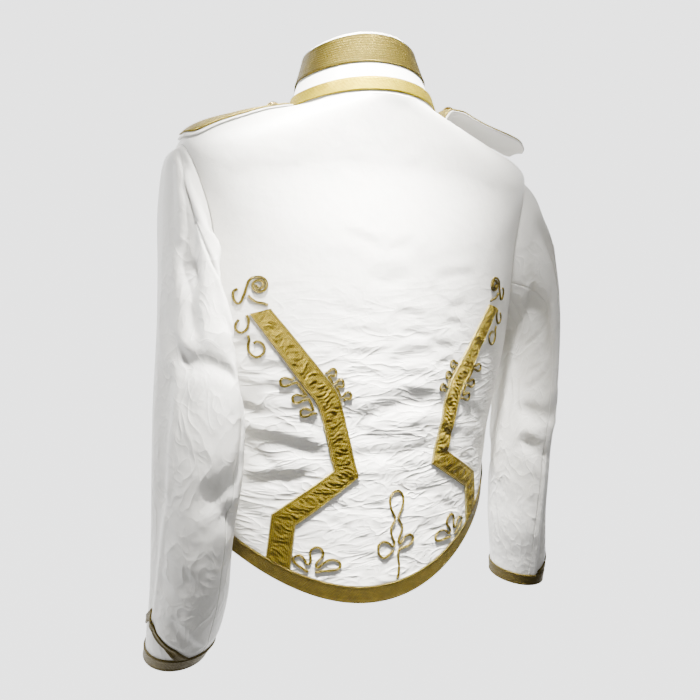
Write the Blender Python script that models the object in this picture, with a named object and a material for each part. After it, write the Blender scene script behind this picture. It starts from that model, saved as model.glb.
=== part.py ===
"""Hussar jacket: a short white jacket with gold lace and soutache braid, in the hollow form
that it has when it is worn. Metres, +Z up, the back at +Y, the wearer's left at +X. The
origin is the middle of the neck opening, at the height of the neck's sides."""

import math

import bpy
import numpy as np
from mathutils import Vector
from mathutils.bvhtree import BVHTree

CLOTH = 0.0020
SEAM_GAP = 0.0003
SLEEVE_SEAM_GAP = 0.0005
ARMHOLE_GAP = 0.0060

# The body is a stack of rings, from the hem up to the neck.
BODY_COLUMNS = (
    "ring", "z_side", "z_back", "z_front", "half_width", "axis_y",
    "back_depth", "front_depth", "square", "corner_dip",
)
BODY_RINGS = (
    ("hem", -0.437, -0.526, -0.500, 0.180, -0.028, 0.109, 0.086, 2.0, 0.000),
    ("waist", -0.375, -0.412, -0.410, 0.188, -0.028, 0.110, 0.086, 2.0, 0.000),
    ("ribs", -0.310, -0.330, -0.330, 0.196, -0.021, 0.105, 0.096, 2.1, 0.000),
    ("armpit", -0.240, -0.250, -0.256, 0.206, -0.013, 0.098, 0.103, 2.2, 0.000),
    ("armhole", -0.145, -0.150, -0.168, 0.208, -0.001, 0.085, 0.110, 2.4, 0.000),
    ("shoulder", -0.054, -0.060, -0.108, 0.208, 0.020, 0.052, 0.116, 3.0, 0.018),
    ("yoke", -0.019, -0.011, -0.064, 0.150, 0.012, 0.060, 0.100, 2.5, 0.008),
    ("neck", -0.002, 0.006, -0.048, 0.084, 0.000, 0.073, 0.068, 2.1, 0.000),
)
HEM, ARMPIT, ARMHOLE, SHOULDER, NECK = 0, 3, 4, 5, 7
ARMHOLE_BACK = math.radians(30)
ARMHOLE_FRONT = math.radians(36)
ARMHOLE_STEPS = 8
STEPS_BELOW_ARMPIT = 12
STEPS_ABOVE_SHOULDER = 4
BACK_COLUMNS = 22
FRONT_COLUMNS = 10
FRONT_LAP = 0.018
LAP_LIFT = 0.0030

# A sleeve is a stack of slanting rings, from the armhole down to the cuff.
SLEEVE_COLUMNS = (
    "ring", "outer_x", "outer_z", "inner_x", "inner_z", "axis_y", "half_depth", "square",
)
SLEEVE_RINGS = (
    ("armhole", 0.208, -0.054, 0.206, -0.240, -0.008, 0.060, 2.2),
    ("head", 0.218, -0.062, 0.209, -0.247, 0.002, 0.064, 2.2),
    ("cap", 0.223, -0.090, 0.209, -0.260, 0.014, 0.066, 2.2),
    ("upper arm", 0.228, -0.150, 0.206, -0.282, 0.026, 0.064, 2.1),
    ("biceps", 0.235, -0.225, 0.199, -0.312, 0.036, 0.061, 2.0),
    ("above elbow", 0.244, -0.310, 0.188, -0.352, 0.043, 0.057, 2.0),
    ("elbow", 0.248, -0.395, 0.180, -0.405, 0.045, 0.053, 2.0),
    ("forearm", 0.250, -0.475, 0.180, -0.477, 0.041, 0.048, 2.0),
    ("wrist", 0.252, -0.540, 0.188, -0.538, 0.033, 0.041, 2.0),
    ("cuff", 0.252, -0.572, 0.192, -0.570, 0.029, 0.037, 2.0),
)
CUFF = 9
SLEEVE_RING_STEPS = 20
ARMHOLE_BLEND = 2.4
SEAM_SHARE = 50.0
HIND_SEAM, FORE_SEAM = 5, 12
# How far each sleeve's outer and inner line lies from the table, ring by ring.
OUTER_SHIFT = {
    "left": (0, 0, 0, 0, 0, 0, 0, 0, 0.001, 0.001),
    "right": (0, 0.001, 0.003, 0.003, -0.002, -0.012, -0.017, -0.012, -0.004, 0),
}
INNER_SHIFT = {
    "left": (0, 0, 0, 0, 0, 0, 0, -0.004, -0.009, -0.001),
    "right": (0, 0, 0, 0, 0, 0, 0, 0, 0, 0),
}
# How far each sleeve's back leans in over the body's side, ring by ring.
BACK_LEAN = {
    "left": (0, 0.012, 0.026, 0.032, 0.033, 0.025, 0.012, 0.004, 0.001, 0),
    "right": (0, 0, 0, 0, 0, 0, 0, 0, 0, 0),
}
LEAN_INWARD = 0.7
# The left forearm swings a little further forward than the right one.
ELBOW_RING = 5
SIDES = (("left", 1.0, 0.034), ("right", -1.0, 0.004))

LEFT_HEM_DROP = 0.075
# Wrinkles of the body. Columns: x_start, z_start, x_end, z_end, half_width, height.
BACK_WRINKLES = (
    (0.150, -0.345, 0.085, -0.372, 0.013, -0.0035),
    (0.150, -0.395, 0.070, -0.335, 0.015, 0.0030),
    (0.030, -0.300, -0.070, -0.345, 0.014, -0.0030),
    (0.045, -0.345, -0.050, -0.330, 0.015, 0.0025),
    (0.020, -0.375, -0.095, -0.395, 0.014, -0.0030),
    (-0.060, -0.235, -0.130, -0.300, 0.014, -0.0030),
    (0.075, -0.440, 0.010, -0.470, 0.014, -0.0025),
    (-0.020, -0.425, -0.085, -0.440, 0.013, -0.0025),
)
FRONT_WRINKLES = (
    (0.150, -0.330, 0.050, -0.372, 0.016, -0.0030),
    (-0.040, -0.345, -0.150, -0.380, 0.016, -0.0030),
    (0.130, -0.250, 0.060, -0.300, 0.016, -0.0025),
    (-0.060, -0.260, -0.140, -0.290, 0.016, -0.0025),
)
# Folds of the sleeves. Columns: round_start, ring_start, round_end, ring_end, half_width,
# height. Round is the share of the way round from the sleeve's outer line.
SLEEVE_FOLDS = {
    "left": (
        (0.16, 1.6, 0.26, 4.3, 0.014, -0.0040),
        (0.33, 1.8, 0.36, 3.8, 0.015, -0.0045),
        (0.24, 2.0, 0.30, 4.0, 0.013, 0.0020),
        (0.13, 3.6, 0.30, 4.9, 0.012, -0.0030),
        (0.40, 5.9, 0.26, 7.0, 0.016, -0.0050),
        (0.04, 3.0, 0.10, 5.2, 0.014, -0.0030),
        (0.58, 2.8, 0.64, 5.4, 0.013, -0.0030),
        (0.66, 6.0, 0.82, 6.6, 0.013, -0.0045),
    ),
    "right": (
        (0.10, 2.0, 0.14, 4.6, 0.014, -0.0040),
        (0.21, 2.4, 0.23, 5.0, 0.014, -0.0035),
        (0.30, 5.6, 0.18, 6.1, 0.014, -0.0045),
        (0.42, 6.2, 0.32, 6.9, 0.014, -0.0035),
        (0.076, 5.6, 0.076, 6.6, 0.045, -0.0090),
        (0.04, 4.6, 0.16, 5.3, 0.012, -0.0030),
        (0.58, 2.8, 0.64, 5.4, 0.013, -0.0030),
        (0.66, 6.0, 0.82, 6.6, 0.013, -0.0045),
    ),
}

LACE = 0.0012
LAID_GAP = 0.00045
LEAST_GAP = 0.00030
BRAID_WIDTH = 0.0026
BRAID_HEIGHT = 0.0013


def material(name, colour, roughness, metallic):
    made = bpy.data.materials.new(name)
    made.use_nodes = True
    shader = made.node_tree.nodes["Principled BSDF"]
    shader.inputs["Base Color"].default_value = (*colour, 1.0)
    shader.inputs["Roughness"].default_value = roughness
    shader.inputs["Metallic"].default_value = metallic
    return made


for old in list(bpy.data.objects):
    bpy.data.objects.remove(old)
jacket = bpy.data.collections.new("Hussar_jacket")
bpy.context.scene.collection.children.link(jacket)
WHITE = material("White satin", (0.86, 0.85, 0.83), 0.45, 0.0)
GOLD = material("Gold lace", (0.72, 0.52, 0.12), 0.4, 0.8)
BRAID = material("Gold braid", (0.48, 0.36, 0.12), 0.5, 0.6)
METAL = material("Gilt metal", (0.83, 0.60, 0.22), 0.25, 1.0)


def column(rows, names, wanted):
    return np.array([row[names.index(wanted)] for row in rows])


def along(values, level):
    """Value at a place between rows: a cubic between each two rows, with no overshoot."""
    step = np.diff(values)
    slope = np.zeros(len(values))
    slope[0], slope[-1] = step[0], step[-1]
    same = step[:-1] * step[1:] > 0
    product = np.where(same, 2 * step[:-1] * step[1:], 0)
    slope[1:-1] = product / np.where(same, step[:-1] + step[1:], 1)
    level = np.clip(level, 0, len(values) - 1)
    low = np.minimum(level.astype(int), len(values) - 2)
    f = level - low
    return (
        (2 * f**3 - 3 * f**2 + 1) * values[low]
        + (f**3 - 2 * f**2 + f) * slope[low]
        + (3 * f**2 - 2 * f**3) * values[low + 1]
        + (f**3 - f**2) * slope[low + 1]
    )


BODY = {name: column(BODY_RINGS, BODY_COLUMNS, name) for name in BODY_COLUMNS[1:]}
SLEEVE = {name: column(SLEEVE_RINGS, SLEEVE_COLUMNS, name) for name in SLEEVE_COLUMNS[1:]}


def ridges(table, a, b):
    """Sum of soft straight ridges and troughs. Each runs between two places, falls away to
    its sides as a bell curve and dies out past its ends."""
    total = np.zeros(np.broadcast(a, b).shape)
    for a_start, b_start, a_end, b_end, half_width, height in table:
        run = np.hypot(a_end - a_start, b_end - b_start)
        far_a, far_b = (a_end - a_start) / run, (b_end - b_start) / run
        ahead = (a - a_start) * far_a + (b - b_start) * far_b
        aside = (b - b_start) * far_a - (a - a_start) * far_b
        past = np.maximum(np.maximum(-ahead, ahead - run), 0)
        total = total + height * np.exp(-(aside**2 + past**2) / half_width**2)
    return total


def signed_power(value, power):
    return np.sign(value) * np.abs(value) ** power


def body(turn, level):
    """Points of the body's outer face. turn is 0 at the left side seam and a quarter turn at
    the back; level counts the rings up from the hem. Each ring is a rounded oblong."""
    turn, level = np.broadcast_arrays(np.asarray(turn, float), np.asarray(level, float))
    size = {name: along(values, level) for name, values in BODY.items()}
    across, out = np.cos(turn), np.sin(turn)
    depth = np.where(out > 0, size["back_depth"], size["front_depth"])
    middle = np.where(out > 0, size["z_back"], size["z_front"])
    power = 2 / size["square"]
    x = size["half_width"] * signed_power(across, power)
    y = size["axis_y"] + depth * signed_power(out, power)
    z = size["z_side"] + (middle - size["z_side"]) * out**2
    z = z - size["corner_dip"] * np.sin(2 * turn) ** 2
    z = z - LEFT_HEM_DROP * x * np.clip(1 - level / 2, 0, 1)
    rise = np.where(
        out > 0, ridges(BACK_WRINKLES, x, z), ridges(FRONT_WRINKLES, x, z)
    ) * np.clip(1.6 * np.abs(out), 0, 1)
    return np.stack([x, y + np.sign(out) * rise, z], axis=-1)


def unit(vectors):
    """The same vectors, one long."""
    return vectors / np.maximum(np.linalg.norm(vectors, axis=-1, keepdims=True), 1e-12)


def normals(surface, a, b, step_a=1e-3, step_b=1e-3):
    """Outward unit normals of a surface of two parameters, from small steps in each."""
    along_a = surface(a + step_a, b) - surface(a - step_a, b)
    along_b = surface(a, b + step_b) - surface(a, b - step_b)
    return unit(np.cross(along_a, along_b))


def hole(place, shrink=0.0):
    """Turn and level of the armhole's edge. place is 0 at the shoulder, a quarter at the
    back, a half at the armpit and three quarters at the front."""
    angle = 2 * np.pi * np.asarray(place, float)
    reach = np.where(np.sin(angle) > 0, ARMHOLE_BACK, ARMHOLE_FRONT)
    turn = reach * np.sin(angle) * (1 - shrink)
    return turn, ARMHOLE + np.cos(angle) * (1 - shrink)


def panel_levels():
    below = np.linspace(HEM, ARMPIT, STEPS_BELOW_ARMPIT + 1)
    angle = np.pi * np.arange(1, ARMHOLE_STEPS) / ARMHOLE_STEPS
    beside = ARMHOLE - np.cos(angle)
    above = np.linspace(SHOULDER, NECK, STEPS_ABOVE_SHOULDER + 1)
    return np.concatenate([below, beside, above])


def armhole_reach(levels, reach):
    """How far the armhole's edge lies from the side seam at each level, as a turn."""
    inside = np.clip(1 - (levels - ARMHOLE) ** 2, 0, 1)
    return reach * np.sqrt(inside)


def add_mesh(name, points, faces, finish):
    """One closed body as an object, with its faces turned outwards."""
    mesh = bpy.data.meshes.new(name)
    points = np.asarray(points)
    fans = [(f[0], f[i], f[i + 1]) for f in faces for i in range(1, len(f) - 1)]
    corner = points[np.array(fans)]
    volume = np.einsum("ij,ij->i", corner[:, 0], np.cross(corner[:, 1], corner[:, 2])).sum()
    if volume < 0:
        faces = [face[::-1] for face in faces]
    mesh.from_pydata([tuple(p) for p in points], [], [tuple(int(i) for i in f) for f in faces])
    mesh.materials.append(finish)
    mesh.shade_smooth()
    made = bpy.data.objects.new(name, mesh)
    jacket.objects.link(made)
    return made


def wall_faces(rows, columns, closed=False):
    """Faces of a wall between an outer and an inner grid of points, with its rims."""
    index = np.arange(rows * columns).reshape(rows, columns)
    inner = index + rows * columns
    if closed:
        index = np.concatenate([index, index[:, :1]], axis=1)
        inner = np.concatenate([inner, inner[:, :1]], axis=1)

    def strip(a, b, c, d):
        return np.stack([a, b, c, d], axis=-1).reshape(-1, 4).tolist()

    faces = strip(index[:-1, :-1], index[:-1, 1:], index[1:, 1:], index[1:, :-1])
    faces += strip(inner[:-1, :-1], inner[1:, :-1], inner[1:, 1:], inner[:-1, 1:])
    faces += strip(inner[0, :-1], inner[0, 1:], index[0, 1:], index[0, :-1])
    faces += strip(index[-1, :-1], index[-1, 1:], inner[-1, 1:], inner[-1, :-1])
    if not closed:
        faces += strip(index[:-1, 0], index[1:, 0], inner[1:, 0], inner[:-1, 0])
        faces += strip(index[:-1, -1], inner[:-1, -1], inner[1:, -1], index[1:, -1])
    return faces


def add_wall(name, outer, inner, finish, closed=False):
    rows, columns = outer.shape[:2]
    points = np.concatenate([outer.reshape(-1, 3), inner.reshape(-1, 3)])
    return add_mesh(name, points, wall_faces(rows, columns, closed), finish)


def seam_turn(turn, level):
    """The turn that covers half a seam's gap at this place."""
    step = 1e-3
    reach = np.linalg.norm(body(turn + step, level) - body(turn - step, level), axis=-1)
    return SEAM_GAP / 2 * 2 * step / reach


def lap(turn):
    """How far the left front stands off near its edge, where it lies over the right front."""
    near = np.clip((-turn - math.radians(76)) / math.radians(9), 0, 1)
    return LAP_LIFT * near**2 * (3 - 2 * near)


def panel_turns(start, end, count, levels, gap=seam_turn):
    """Turns of a panel's columns. They are even at the hem, and where the armhole cuts in
    the columns near it give way the most."""
    share = np.linspace(0, 1, count + 1)[None, :]
    first, last = start(levels), end(levels)
    low, high = first[:1], last[:1]
    even = low + (high - low) * share
    turn = even + (first - low) * (1 - share) ** 1.6 + (last - high) * share**1.6
    turn[:, :1] += gap(first, levels)
    turn[:, -1:] -= gap(last, levels)
    return turn


def add_panel(name, start, end, count, lift=None):
    """A body panel between two turns that depend on the level."""
    levels = panel_levels()[:, None]
    turn = panel_turns(start, end, count, levels)
    level = levels + 0 * turn
    normal = normals(body, turn, level)
    outer = body(turn, level)
    if lift is not None:
        outer = outer + normal * lift(turn)[..., None]
    return add_wall(name, outer, outer - normal * CLOTH, WHITE)


def lap_turn(level):
    """Turn past the centre front that the lap covers."""
    step = 1e-3
    middle = -np.pi / 2
    reach = np.linalg.norm(body(middle + step, level) - body(middle - step, level), axis=-1)
    return FRONT_LAP * 2 * step / reach


add_panel(
    "back",
    lambda level: armhole_reach(level, ARMHOLE_BACK),
    lambda level: np.pi - armhole_reach(level, ARMHOLE_BACK),
    BACK_COLUMNS,
)
add_panel(
    "left_front",
    lambda level: -np.pi / 2 - lap_turn(level),
    lambda level: -armhole_reach(level, ARMHOLE_FRONT),
    FRONT_COLUMNS,
    lap,
)
add_panel(
    "right_front",
    lambda level: np.pi + armhole_reach(level, ARMHOLE_FRONT),
    lambda level: 3 * np.pi / 2 + 0 * level,
    FRONT_COLUMNS,
)


GIRTH, RING_HEIGHT = 0.300, 0.058


def mirror_of(side):
    return 1.0 if side == "left" else -1.0


def forward_of(side):
    return dict((name, forward) for name, _, forward in SIDES)[side]


def sleeve_tube(side, place, level):
    """Points of the plain slanting tube that the sleeve becomes below its head."""
    size = {name: along(values, level) for name, values in SLEEVE.items()}
    size["outer_x"] = size["outer_x"] + along(np.array(OUTER_SHIFT[side], float), level)
    size["inner_x"] = size["inner_x"] + along(np.array(INNER_SHIFT[side], float), level)
    angle = 2 * np.pi * place
    power = 2 / size["square"]
    over, back = signed_power(np.cos(angle), power), signed_power(np.sin(angle), power)
    x = (size["outer_x"] + size["inner_x"]) / 2 + (size["outer_x"] - size["inner_x"]) / 2 * over
    x = x - along(np.array(BACK_LEAN[side], float), level) * np.clip(back, 0, 1) * (1 - LEAN_INWARD * over)
    z = (size["outer_z"] + size["inner_z"]) / 2 + (size["outer_z"] - size["inner_z"]) / 2 * over
    y = size["axis_y"] + size["half_depth"] * back
    return np.stack([x, y, z], axis=-1)


def armhole_edge(side, place):
    turn, level = hole(place, ARMHOLE_GAP)
    return (turn if side == "left" else np.pi - turn), level


def plain_sleeve(side, place, level):
    """Points of a left sleeve's outer face. It leaves from the armhole's own edge, and the
    difference from the plain tube dies out over the first rings."""
    place, level = np.broadcast_arrays(np.asarray(place, float), np.asarray(level, float))
    edge = body(*armhole_edge(side, place)) * np.array([mirror_of(side), 1, 1])
    off = edge - sleeve_tube(side, place, np.zeros_like(place))
    keep = np.clip(1 - level / ARMHOLE_BLEND, 0, 1) ** 2
    points = sleeve_tube(side, place, level) + off * keep[..., None]
    points[..., 1] -= forward_of(side) * np.clip((level - ELBOW_RING) / 4, 0, 1) ** 1.5
    return points


def sleeve(side, place, level):
    """The sleeve with its folds, which lie along its length and round its girth."""
    place, level = np.broadcast_arrays(np.asarray(place, float), np.asarray(level, float))
    smooth = plain_sleeve(side, place, level)
    outward = -normals(lambda a, b: plain_sleeve(side, a, b), place, level)
    total = np.zeros(place.shape)
    for round_start, ring_start, round_end, ring_end, half_width, height in SLEEVE_FOLDS[side]:
        row = ((round_start * GIRTH, ring_start * RING_HEIGHT, round_end * GIRTH,
                ring_end * RING_HEIGHT, half_width, height),)
        total = total + ridges(row, np.mod(place + 0.2, 1) * GIRTH - 0.2 * GIRTH, level * RING_HEIGHT)
    free = np.clip((level - 1.2) / 1.6, 0, 1)
    return smooth + outward * (total * free)[..., None]


def add_sleeve(side):
    """A sleeve's two pieces. At the seams the wall goes inwards square to the cloth, between
    them partly towards the sleeve's middle: square_on is the first way's share."""
    around = 2 * ARMHOLE_STEPS
    share = np.linspace(0, 1, SLEEVE_RING_STEPS + 1)
    levels = CUFF * (0.62 * share + 0.38 * share**2)
    mirror = np.array([mirror_of(side), 1, 1])

    def surface(a, b):
        return sleeve(side, a, b)

    pieces = (
        ("top_sleeve", np.arange(FORE_SEAM - around, HIND_SEAM + 1), 0.6),
        ("under_sleeve", np.arange(HIND_SEAM, FORE_SEAM + 1), SEAM_SHARE),
    )
    for name, steps, inside_share in pieces:
        place = (steps / around)[None, :] + 0 * levels[:, None]
        level = levels[:, None] + 0 * place
        girth = np.linalg.norm(surface(place + 1e-3, level) - surface(place - 1e-3, level), axis=-1)
        half_gap = SLEEVE_SEAM_GAP / 2 * 2e-3 / girth
        place[:, 0] += half_gap[:, 0]
        place[:, -1] -= half_gap[:, -1]
        outer = surface(place, level)
        ring = surface(np.arange(around)[None, :] / around, levels[:, None])
        outward = unit(outer - ring.mean(axis=1, keepdims=True))
        square_on = np.full((1, len(steps), 1), inside_share)
        square_on[:, [0, -1]] = SEAM_SHARE
        outward = unit(outward - square_on * normals(surface, place, level))
        outward[0] = normals(body, *armhole_edge(side, place[0])) * mirror
        low = np.cos(2 * np.pi * place[0]) < -0.2
        outward[0][low] = -normals(surface, place[0], level[0] + 0.02)[low]
        inner = outer - outward * CLOTH
        add_wall(f"{side}_{name}", (outer * mirror)[::-1], (inner * mirror)[::-1], WHITE)


for side, _, _ in SIDES:
    add_sleeve(side)


# The stand collar leans inwards, its top edge slopes down to the front, and it sits a
# little higher on the right.
COLLAR_COLUMNS = ("ring", "half_width", "back_depth", "front_depth", "z_side", "z_back", "z_front")
COLLAR_RINGS = (
    ("foot", 0.0835, 0.0725, 0.0675, -0.003, 0.005, -0.049),
    ("low", 0.080, 0.067, 0.066, 0.012, 0.022, -0.030),
    ("middle", 0.071, 0.056, 0.066, 0.038, 0.048, -0.002),
    ("top", 0.061, 0.047, 0.068, 0.067, 0.078, 0.022),
)
COLLAR_AHEAD = -0.006
COLLAR_TILT = 0.03
COLLAR_TOP = 3
COLLAR_ROWS = 3
COLLAR_OPEN = math.radians(3)
COLLAR_SEAT = 0.0006
COLLAR_LACE = (("lower", 0.22, 1.12), ("upper", 1.80, 2.88))
COLLAR = {name: column(COLLAR_RINGS, COLLAR_COLUMNS, name) for name in COLLAR_COLUMNS[1:]}


def collar(turn, level):
    """Points of the collar's outer face, on rings that shrink and tip forward as they rise.
    Its foot stands just inside the neck edge."""
    turn, level = np.broadcast_arrays(np.asarray(turn, float), np.asarray(level, float))

    def ring(height):
        size = {name: along(values, height) for name, values in COLLAR.items()}
        across, out = np.cos(turn), np.sin(turn)
        x = size["half_width"] * signed_power(across, 2 / 2.1)
        y = np.where(out > 0, size["back_depth"], size["front_depth"]) * signed_power(out, 2 / 2.1)
        middle = np.where(out > 0, size["z_back"], size["z_front"])
        z = size["z_side"] + (middle - size["z_side"]) * out**2
        return np.stack([x, y, z], axis=-1)

    edge = body(turn, NECK + 0 * turn)
    onward = unit(edge - body(turn, NECK - 0.01 + 0 * turn))
    seat = edge + onward * COLLAR_SEAT
    share = level / COLLAR_TOP
    points = ring(level) + (seat - ring(0 * level)) * ((1 - share) ** 2)[..., None]
    points[..., 1] += COLLAR_AHEAD * share
    points[..., 2] -= COLLAR_TILT * points[..., 0] * share
    return points


def neck_turns():
    """Turns of the panels' columns at the neck, so that the collar's facets run beside
    theirs, from one side of its front opening to the other."""
    back = np.linspace(0, np.pi, BACK_COLUMNS + 1)
    front = np.linspace(0, np.pi / 2, FRONT_COLUMNS + 1)[1:]
    turns = np.concatenate([-front[::-1], back, np.pi + front])
    turns[0] += COLLAR_OPEN
    turns[-1] -= COLLAR_OPEN
    return turns


def add_collar():
    turn, level = np.meshgrid(neck_turns(), np.linspace(0, COLLAR_TOP, COLLAR_ROWS + 1))
    outer = collar(turn, level)
    normal = normals(collar, turn, level)
    normal[0] = normals(body, turn[0], NECK - 0.01 + 0 * turn[0], step_b=5e-3)
    add_wall("collar", outer, outer - normal * CLOTH, WHITE)
    for name, low, high in COLLAR_LACE:
        rows = np.linspace(low, high, 3)[:, None]
        band = turn[:1] + 0 * rows
        level_here = rows + 0 * band
        base, away = collar(band, level_here), normals(collar, band, level_here)
        gap = 1.6 * LAID_GAP
        add_wall(f"collar_lace_{name}", base + away * (gap + LACE), base + away * gap, GOLD)


add_collar()


def outer_tree(names):
    """A search tree of the outer triangles of these walls, with the normals at their corners.
    The first half of a wall's points is its outer grid."""
    points, faces, outward = [], [], []
    for name in names:
        mesh = bpy.data.objects[name].data
        start, outer = len(points), len(mesh.vertices) // 2
        points += [vertex.co.copy() for vertex in mesh.vertices]
        outward += [vertex.normal.copy() for vertex in mesh.vertices]
        mesh.calc_loop_triangles()
        for triangle in mesh.loop_triangles:
            if max(triangle.vertices) < outer:
                faces.append(tuple(start + i for i in triangle.vertices))
    return BVHTree.FromPolygons(points, faces), points, faces, outward


BODY_CLOTH = outer_tree(["back", "left_front", "right_front"])


def hit(cloth, start, direction):
    """The place on the cloth that a ray meets, and the direction that the cloth faces there.
    A ray that slips through a seam is moved a little to one side."""
    tree, points, faces, outward = cloth
    for aside in (0.0, 0.0006, -0.0006, 0.0012, -0.0012):
        moved = Vector(start) + Vector((aside, 0.3 * aside, 0.2 * aside))
        spot, flat, face, _ = tree.ray_cast(moved, Vector(direction))
        if face is not None:
            break
    away = Vector((0, 0, 0))
    for corner in faces[face]:
        near = 0.004 + (points[corner] - spot).length
        away += (outward[corner].normalized() + 0.5 * flat) / near
    return np.array(spot), np.array(away.normalized())


def settle(low, faces, away, cloth):
    """Raises the under side of a laid piece until no part of it comes too near the cloth."""
    low = low.copy()
    shares = [(a / 3, b / 3) for a in range(4) for b in range(4)]
    diagonal = (0.25, 0.5, 0.75)
    for _ in range(6):
        lift = np.zeros(len(low))
        for face in faces:
            a, b, c, d = (low[i] for i in face)
            spots = [(1 - u) * ((1 - v) * a + v * d) + u * ((1 - v) * b + v * c) for u, v in shares]
            spots += [(1 - u) * a + u * c for u in diagonal]
            spots += [(1 - u) * b + u * d for u in diagonal]
            for spot in spots:
                near, flat, _, _ = cloth[0].find_nearest(Vector(spot))
                short = LEAST_GAP - (Vector(spot) - near).dot(flat)
                if short > 0:
                    for i in face:
                        lift[i] = max(lift[i], short * 1.2)
        if not lift.any():
            break
        low += away * lift[:, None]
    return low


def add_laid(name, low, away, thickness, finish, cloth, narrow=1.0, closed=False):
    """A strip laid on the cloth: low is its under side as a grid of points, away the cloth's
    direction at each. narrow draws its upper side in towards its middle."""
    rows, columns = low.shape[:2]
    index = np.arange(rows * columns).reshape(rows, columns)
    if closed:
        index = np.concatenate([index, index[:, :1]], axis=1)
    faces = np.stack(
        [index[:-1, :-1], index[:-1, 1:], index[1:, 1:], index[1:, :-1]], axis=-1
    ).reshape(-1, 4)
    under = settle(low.reshape(-1, 3), faces, away.reshape(-1, 3), cloth).reshape(low.shape)
    middle = under.mean(axis=1, keepdims=True)
    drawn_in = middle + (under - middle) * narrow if narrow < 1 else under
    return add_wall(name, drawn_in + away * thickness, under, finish, closed)


def offset_path(points, offsets):
    """A path's copies to each side of it, mitred at its corners, as rows of points."""
    step = unit(np.diff(points, axis=0))
    side = np.stack([step[:, 1], -step[:, 0]], axis=-1)
    first = np.concatenate([side[:1], side])
    last = np.concatenate([side, side[-1:]])
    mitre = unit(first + last)
    mitre = mitre / np.maximum((mitre * last).sum(axis=1, keepdims=True), 0.3)
    return points[:, None, :] + mitre[:, None, :] * np.asarray(offsets)[None, :, None]


def resample(points, spacing):
    """Points spaced evenly along each stretch of a path, with its own points kept."""
    made = [points[0]]
    for start, end in zip(points[:-1], points[1:]):
        count = max(1, round(float(np.linalg.norm(end - start)) / spacing))
        for step in range(1, count + 1):
            made.append(start + (end - start) * step / count)
    return np.array(made)


def trim(flat, row, other, limit):
    """Slides one end row of a flat strip along the strip until it meets a limiting curve."""
    flat = flat.copy()
    way = flat[other] - flat[row]
    for _ in range(6):
        over = limit(flat[row, :, 0]) - flat[row, :, 1]
        flat[row] = flat[row] + way * (over / way[:, 1])[:, None]
    return flat


def lay_on_back(flat):
    """Lifts a grid of (x, z) places on to the back."""
    spots = [hit(BODY_CLOTH, (x, 1.0, z), (0, -1, 0)) for x, z in flat.reshape(-1, 2)]
    low = np.array([spot + away * LAID_GAP for spot, away in spots])
    away = np.array([away for _, away in spots])
    return low.reshape(*flat.shape[:2], 3), away.reshape(*flat.shape[:2], 3)


def hem_level(turn, height):
    """The level that lies this far above the hem along the cloth."""
    tall = np.linalg.norm(body(turn, 0.25) - body(turn, 0.0 * turn), axis=-1)
    return 0.25 * height / tall


def above_hem(x, height):
    """Height z on the back, this far above the hem, at each x."""
    level = 0.15 + 0 * x
    for _ in range(4):
        half_width, square = along(BODY["half_width"], level), along(BODY["square"], level)
        across = np.sign(x) * np.clip(np.abs(x) / half_width, 0, 0.98) ** (square / 2)
        turn = np.arccos(across)
        level = hem_level(turn, height)
    return body(turn, level)[..., 2]


# Hem lace, all round from the left front's edge to the right front, where the lap ends it.
HEM_LACE_WIDTH = 0.020
HEM_LACE_SETBACK = 0.0005
LAP_CLEARANCE = math.radians(1.5)


def add_hem_lace():
    lap_reach = lap_turn(np.array([0.0]))[0]
    front = np.linspace(0, np.pi / 2, FRONT_COLUMNS + 1)[1:]
    back = np.linspace(0, np.pi, BACK_COLUMNS + 1)
    turn = np.concatenate([-front[::-1], back, np.pi + front])
    turn[0] -= lap_reach - math.radians(0.3)
    turn[-1] -= lap_reach + LAP_CLEARANCE
    height = np.linspace(HEM_LACE_SETBACK, HEM_LACE_WIDTH, 3)[:, None]
    turn = turn[None, :] + 0 * height
    level = hem_level(turn, height)
    away = normals(body, turn, level)
    low = body(turn, level) + away * (LAID_GAP + np.where(turn < 0, lap(turn), 0))[..., None]
    add_laid("hem_lace", low, away, LACE, GOLD, BODY_CLOTH)


add_hem_lace()

# Back lace, from the armhole to the hem lace, where both its ends are cut on the slant. It
# is drawn for the left and mirrored; the right one lies a little closer in.
BACK_LACE_WIDTH = 0.0235
BACK_LACE_TOP = ((0.1550, -0.2130), (0.1455, -0.2105), (0.1360, -0.2080))
BACK_LACE_PATH = (
    (0.1440, -0.2125),
    (0.0970, -0.2770),
    (0.0800, -0.3020),
    (0.0695, -0.3400),
    (0.0600, -0.3780),
    (0.1210, -0.4200),
    (0.1265, -0.4720),
)
LACE_SPACING = 0.010
LACE_CLEARANCE = 0.0008
RIGHT_DRAWN_IN = 0.06


def on_side(path, mirror):
    """A drawn path on one side, following the hem's tilt as it nears the hem."""
    near_hem = np.clip((-0.33 - path[..., 1]) / 0.16, 0, 1)
    x = path[..., 0] * mirror
    if mirror < 0:
        x = x * (1 - RIGHT_DRAWN_IN)
    return np.stack([x, path[..., 1] - LEFT_HEM_DROP * x * near_hem], axis=-1)


def hem_lace_top(x):
    return above_hem(x, HEM_LACE_WIDTH + LACE_CLEARANCE)


def filled_in(rows, spacing):
    """Rows of points with evenly spaced ones added between each two."""
    made = [rows[:1]]
    for start, end in zip(rows[:-1], rows[1:]):
        count = max(1, round(float(np.linalg.norm(end - start, axis=-1).mean()) / spacing))
        share = np.arange(1, count + 1)[:, None, None] / count
        made.append(start + (end - start) * share)
    return np.concatenate(made)


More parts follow.
